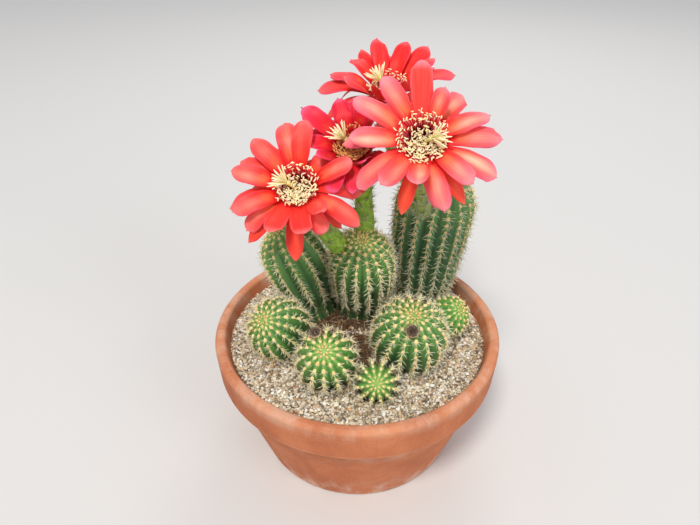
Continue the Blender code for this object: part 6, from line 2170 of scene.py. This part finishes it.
def build():
    stems = {name: Stem(name) for name in STEMS}
    felt, spine = felt_look(), spine_look()
    skins = {key: skin_look("skin_" + key, *colours) for key, colours in SKINS.items()}
    trees = []
    for name, stem in stems.items():
        made = stem.skin().make(name + "_skin", [skins[stem.habit["look"]]], "cactus_skin", (name,))
        verts = [Vector(v.co) / MM - Vector((0, 0, GRAVEL_TOP)) for v in made.data.vertices]
        trees.append(BVHTree.FromPolygons(verts, [tuple(p.vertices) for p in made.data.polygons]))
        cut_foot(made, GRAVEL_TOP + ROOT_CUT)
        pad_piece(stem).make(name + "_areoles", [felt], "cactus_skin")
        spine_piece(stem).make(name + "_spines", [spine], "cactus_skin")
    withered, strands = dry_look(), strand_look()
    scar = scar_look()
    for name in SCARS:
        button, fringe = scar_piece(name)
        button.make(name + "_button", [scar], "dried_flower", (name,))
        fringe.make(name + "_bristles", [strands], "dried_flower")

    # flowers: the tepals stand exactly where the solid ones are
    obstacles = [tree_of(*stem_mesh(spec, grow=0.6, per_rib=2, side_rows=8, crown_rows=5)) for spec in STEMS.values()]
    for spec in FLOWERS.values():
        obstacles += [tree_of(*p) for p in (tube_mesh(spec), placed_mesh(stamens_mesh(spec), spec), placed_mesh(stigma_mesh(spec), spec))]
    settled = settle(obstacles)
    lime = dict(tube=(srgb(122, 164, 44), srgb(164, 200, 74), srgb(206, 66, 44)), scale=(srgb(112, 156, 48), srgb(150, 188, 76), srgb(150, 84, 44)), hair=(srgb(226, 232, 176), srgb(176, 186, 120)))
    grey = dict(tube=(srgb(124, 146, 66), srgb(156, 172, 96), srgb(198, 62, 44)), scale=(srgb(116, 138, 66), srgb(150, 164, 100), srgb(156, 62, 40)), hair=(srgb(244, 242, 230), srgb(204, 196, 168)))
    stigma = stigma_look()
    for flower in FLOWERS:
        kind = lime if flower in ("flower_left", "flower_middle") else grey
        petal = petal_look(flower + "_petals", *PETALS[flower])
        sepal = petal_look(flower + "_sepals", *SEPALS[flower])
        tube_piece(flower).make(flower + "_throat", [tube_look(flower + "_tube_skin", *kind["tube"])], "flower_tube", (flower + "_tube",))
        scale_pieces(flower, scale_look(flower + "_scale_skin", *kind["scale"])).make(flower + "_hairs", [hair_look(flower + "_hair", *kind["hair"])], "flower_tube")
        for whorl in ("outer", "middle", "inner"):
            kept, bases = settled[flower][whorl]
            whorl_piece(flower, whorl, kept, bases).make(
                f"{flower}_{whorl}_petals", [sepal if whorl == "outer" else petal], flower.replace("flower_", "") + "_petals", (f"{flower}_{whorl}_tepals",))
        dark = flower == "flower_middle"
        look = stamen_look(flower + "_anthers", srgb(240, 186, 112) if dark else srgb(255, 250, 214), srgb(204, 132, 66) if dark else srgb(250, 230, 164))
        stamen_piece(flower).make(flower + "_threads", [look], "stamens", (flower + "_stamens",))
        stigma_piece(flower).make(flower + "_style", [stigma], "stigma", (flower + "_stigma",))

    places, sizes = gravel_places(trees)
    stone = gravel_look()
    ground_piece().make("gravel_bed", [fines_and_gap_shade_look()], "gravel", ("gravel_top_dressing",))
    half = places[:, 1] < -20
    grain_piece(places[half], sizes[half], 51).make("gravel_grains_front", [stone], "gravel")
    grain_piece(places[~half], sizes[~half], 52).make("gravel_grains_back", [stone], "gravel")
    # the withered heap: partly real litter and partly a dark stand-in for the shade in the gaps between the stems
    core, loose = litter_and_gap_shade_pieces(trees)
    core.make("litter_core", [withered], "dried_flower")
    loose.make("litter_strands", [strands], "dried_flower")
    pot_piece().make("pot_body", [terracotta_look()], "terracotta", ("pot",))
    soil = soil_look()
    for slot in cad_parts["potting_soil"].material_slots:
        slot.material = soil


studio()
build()
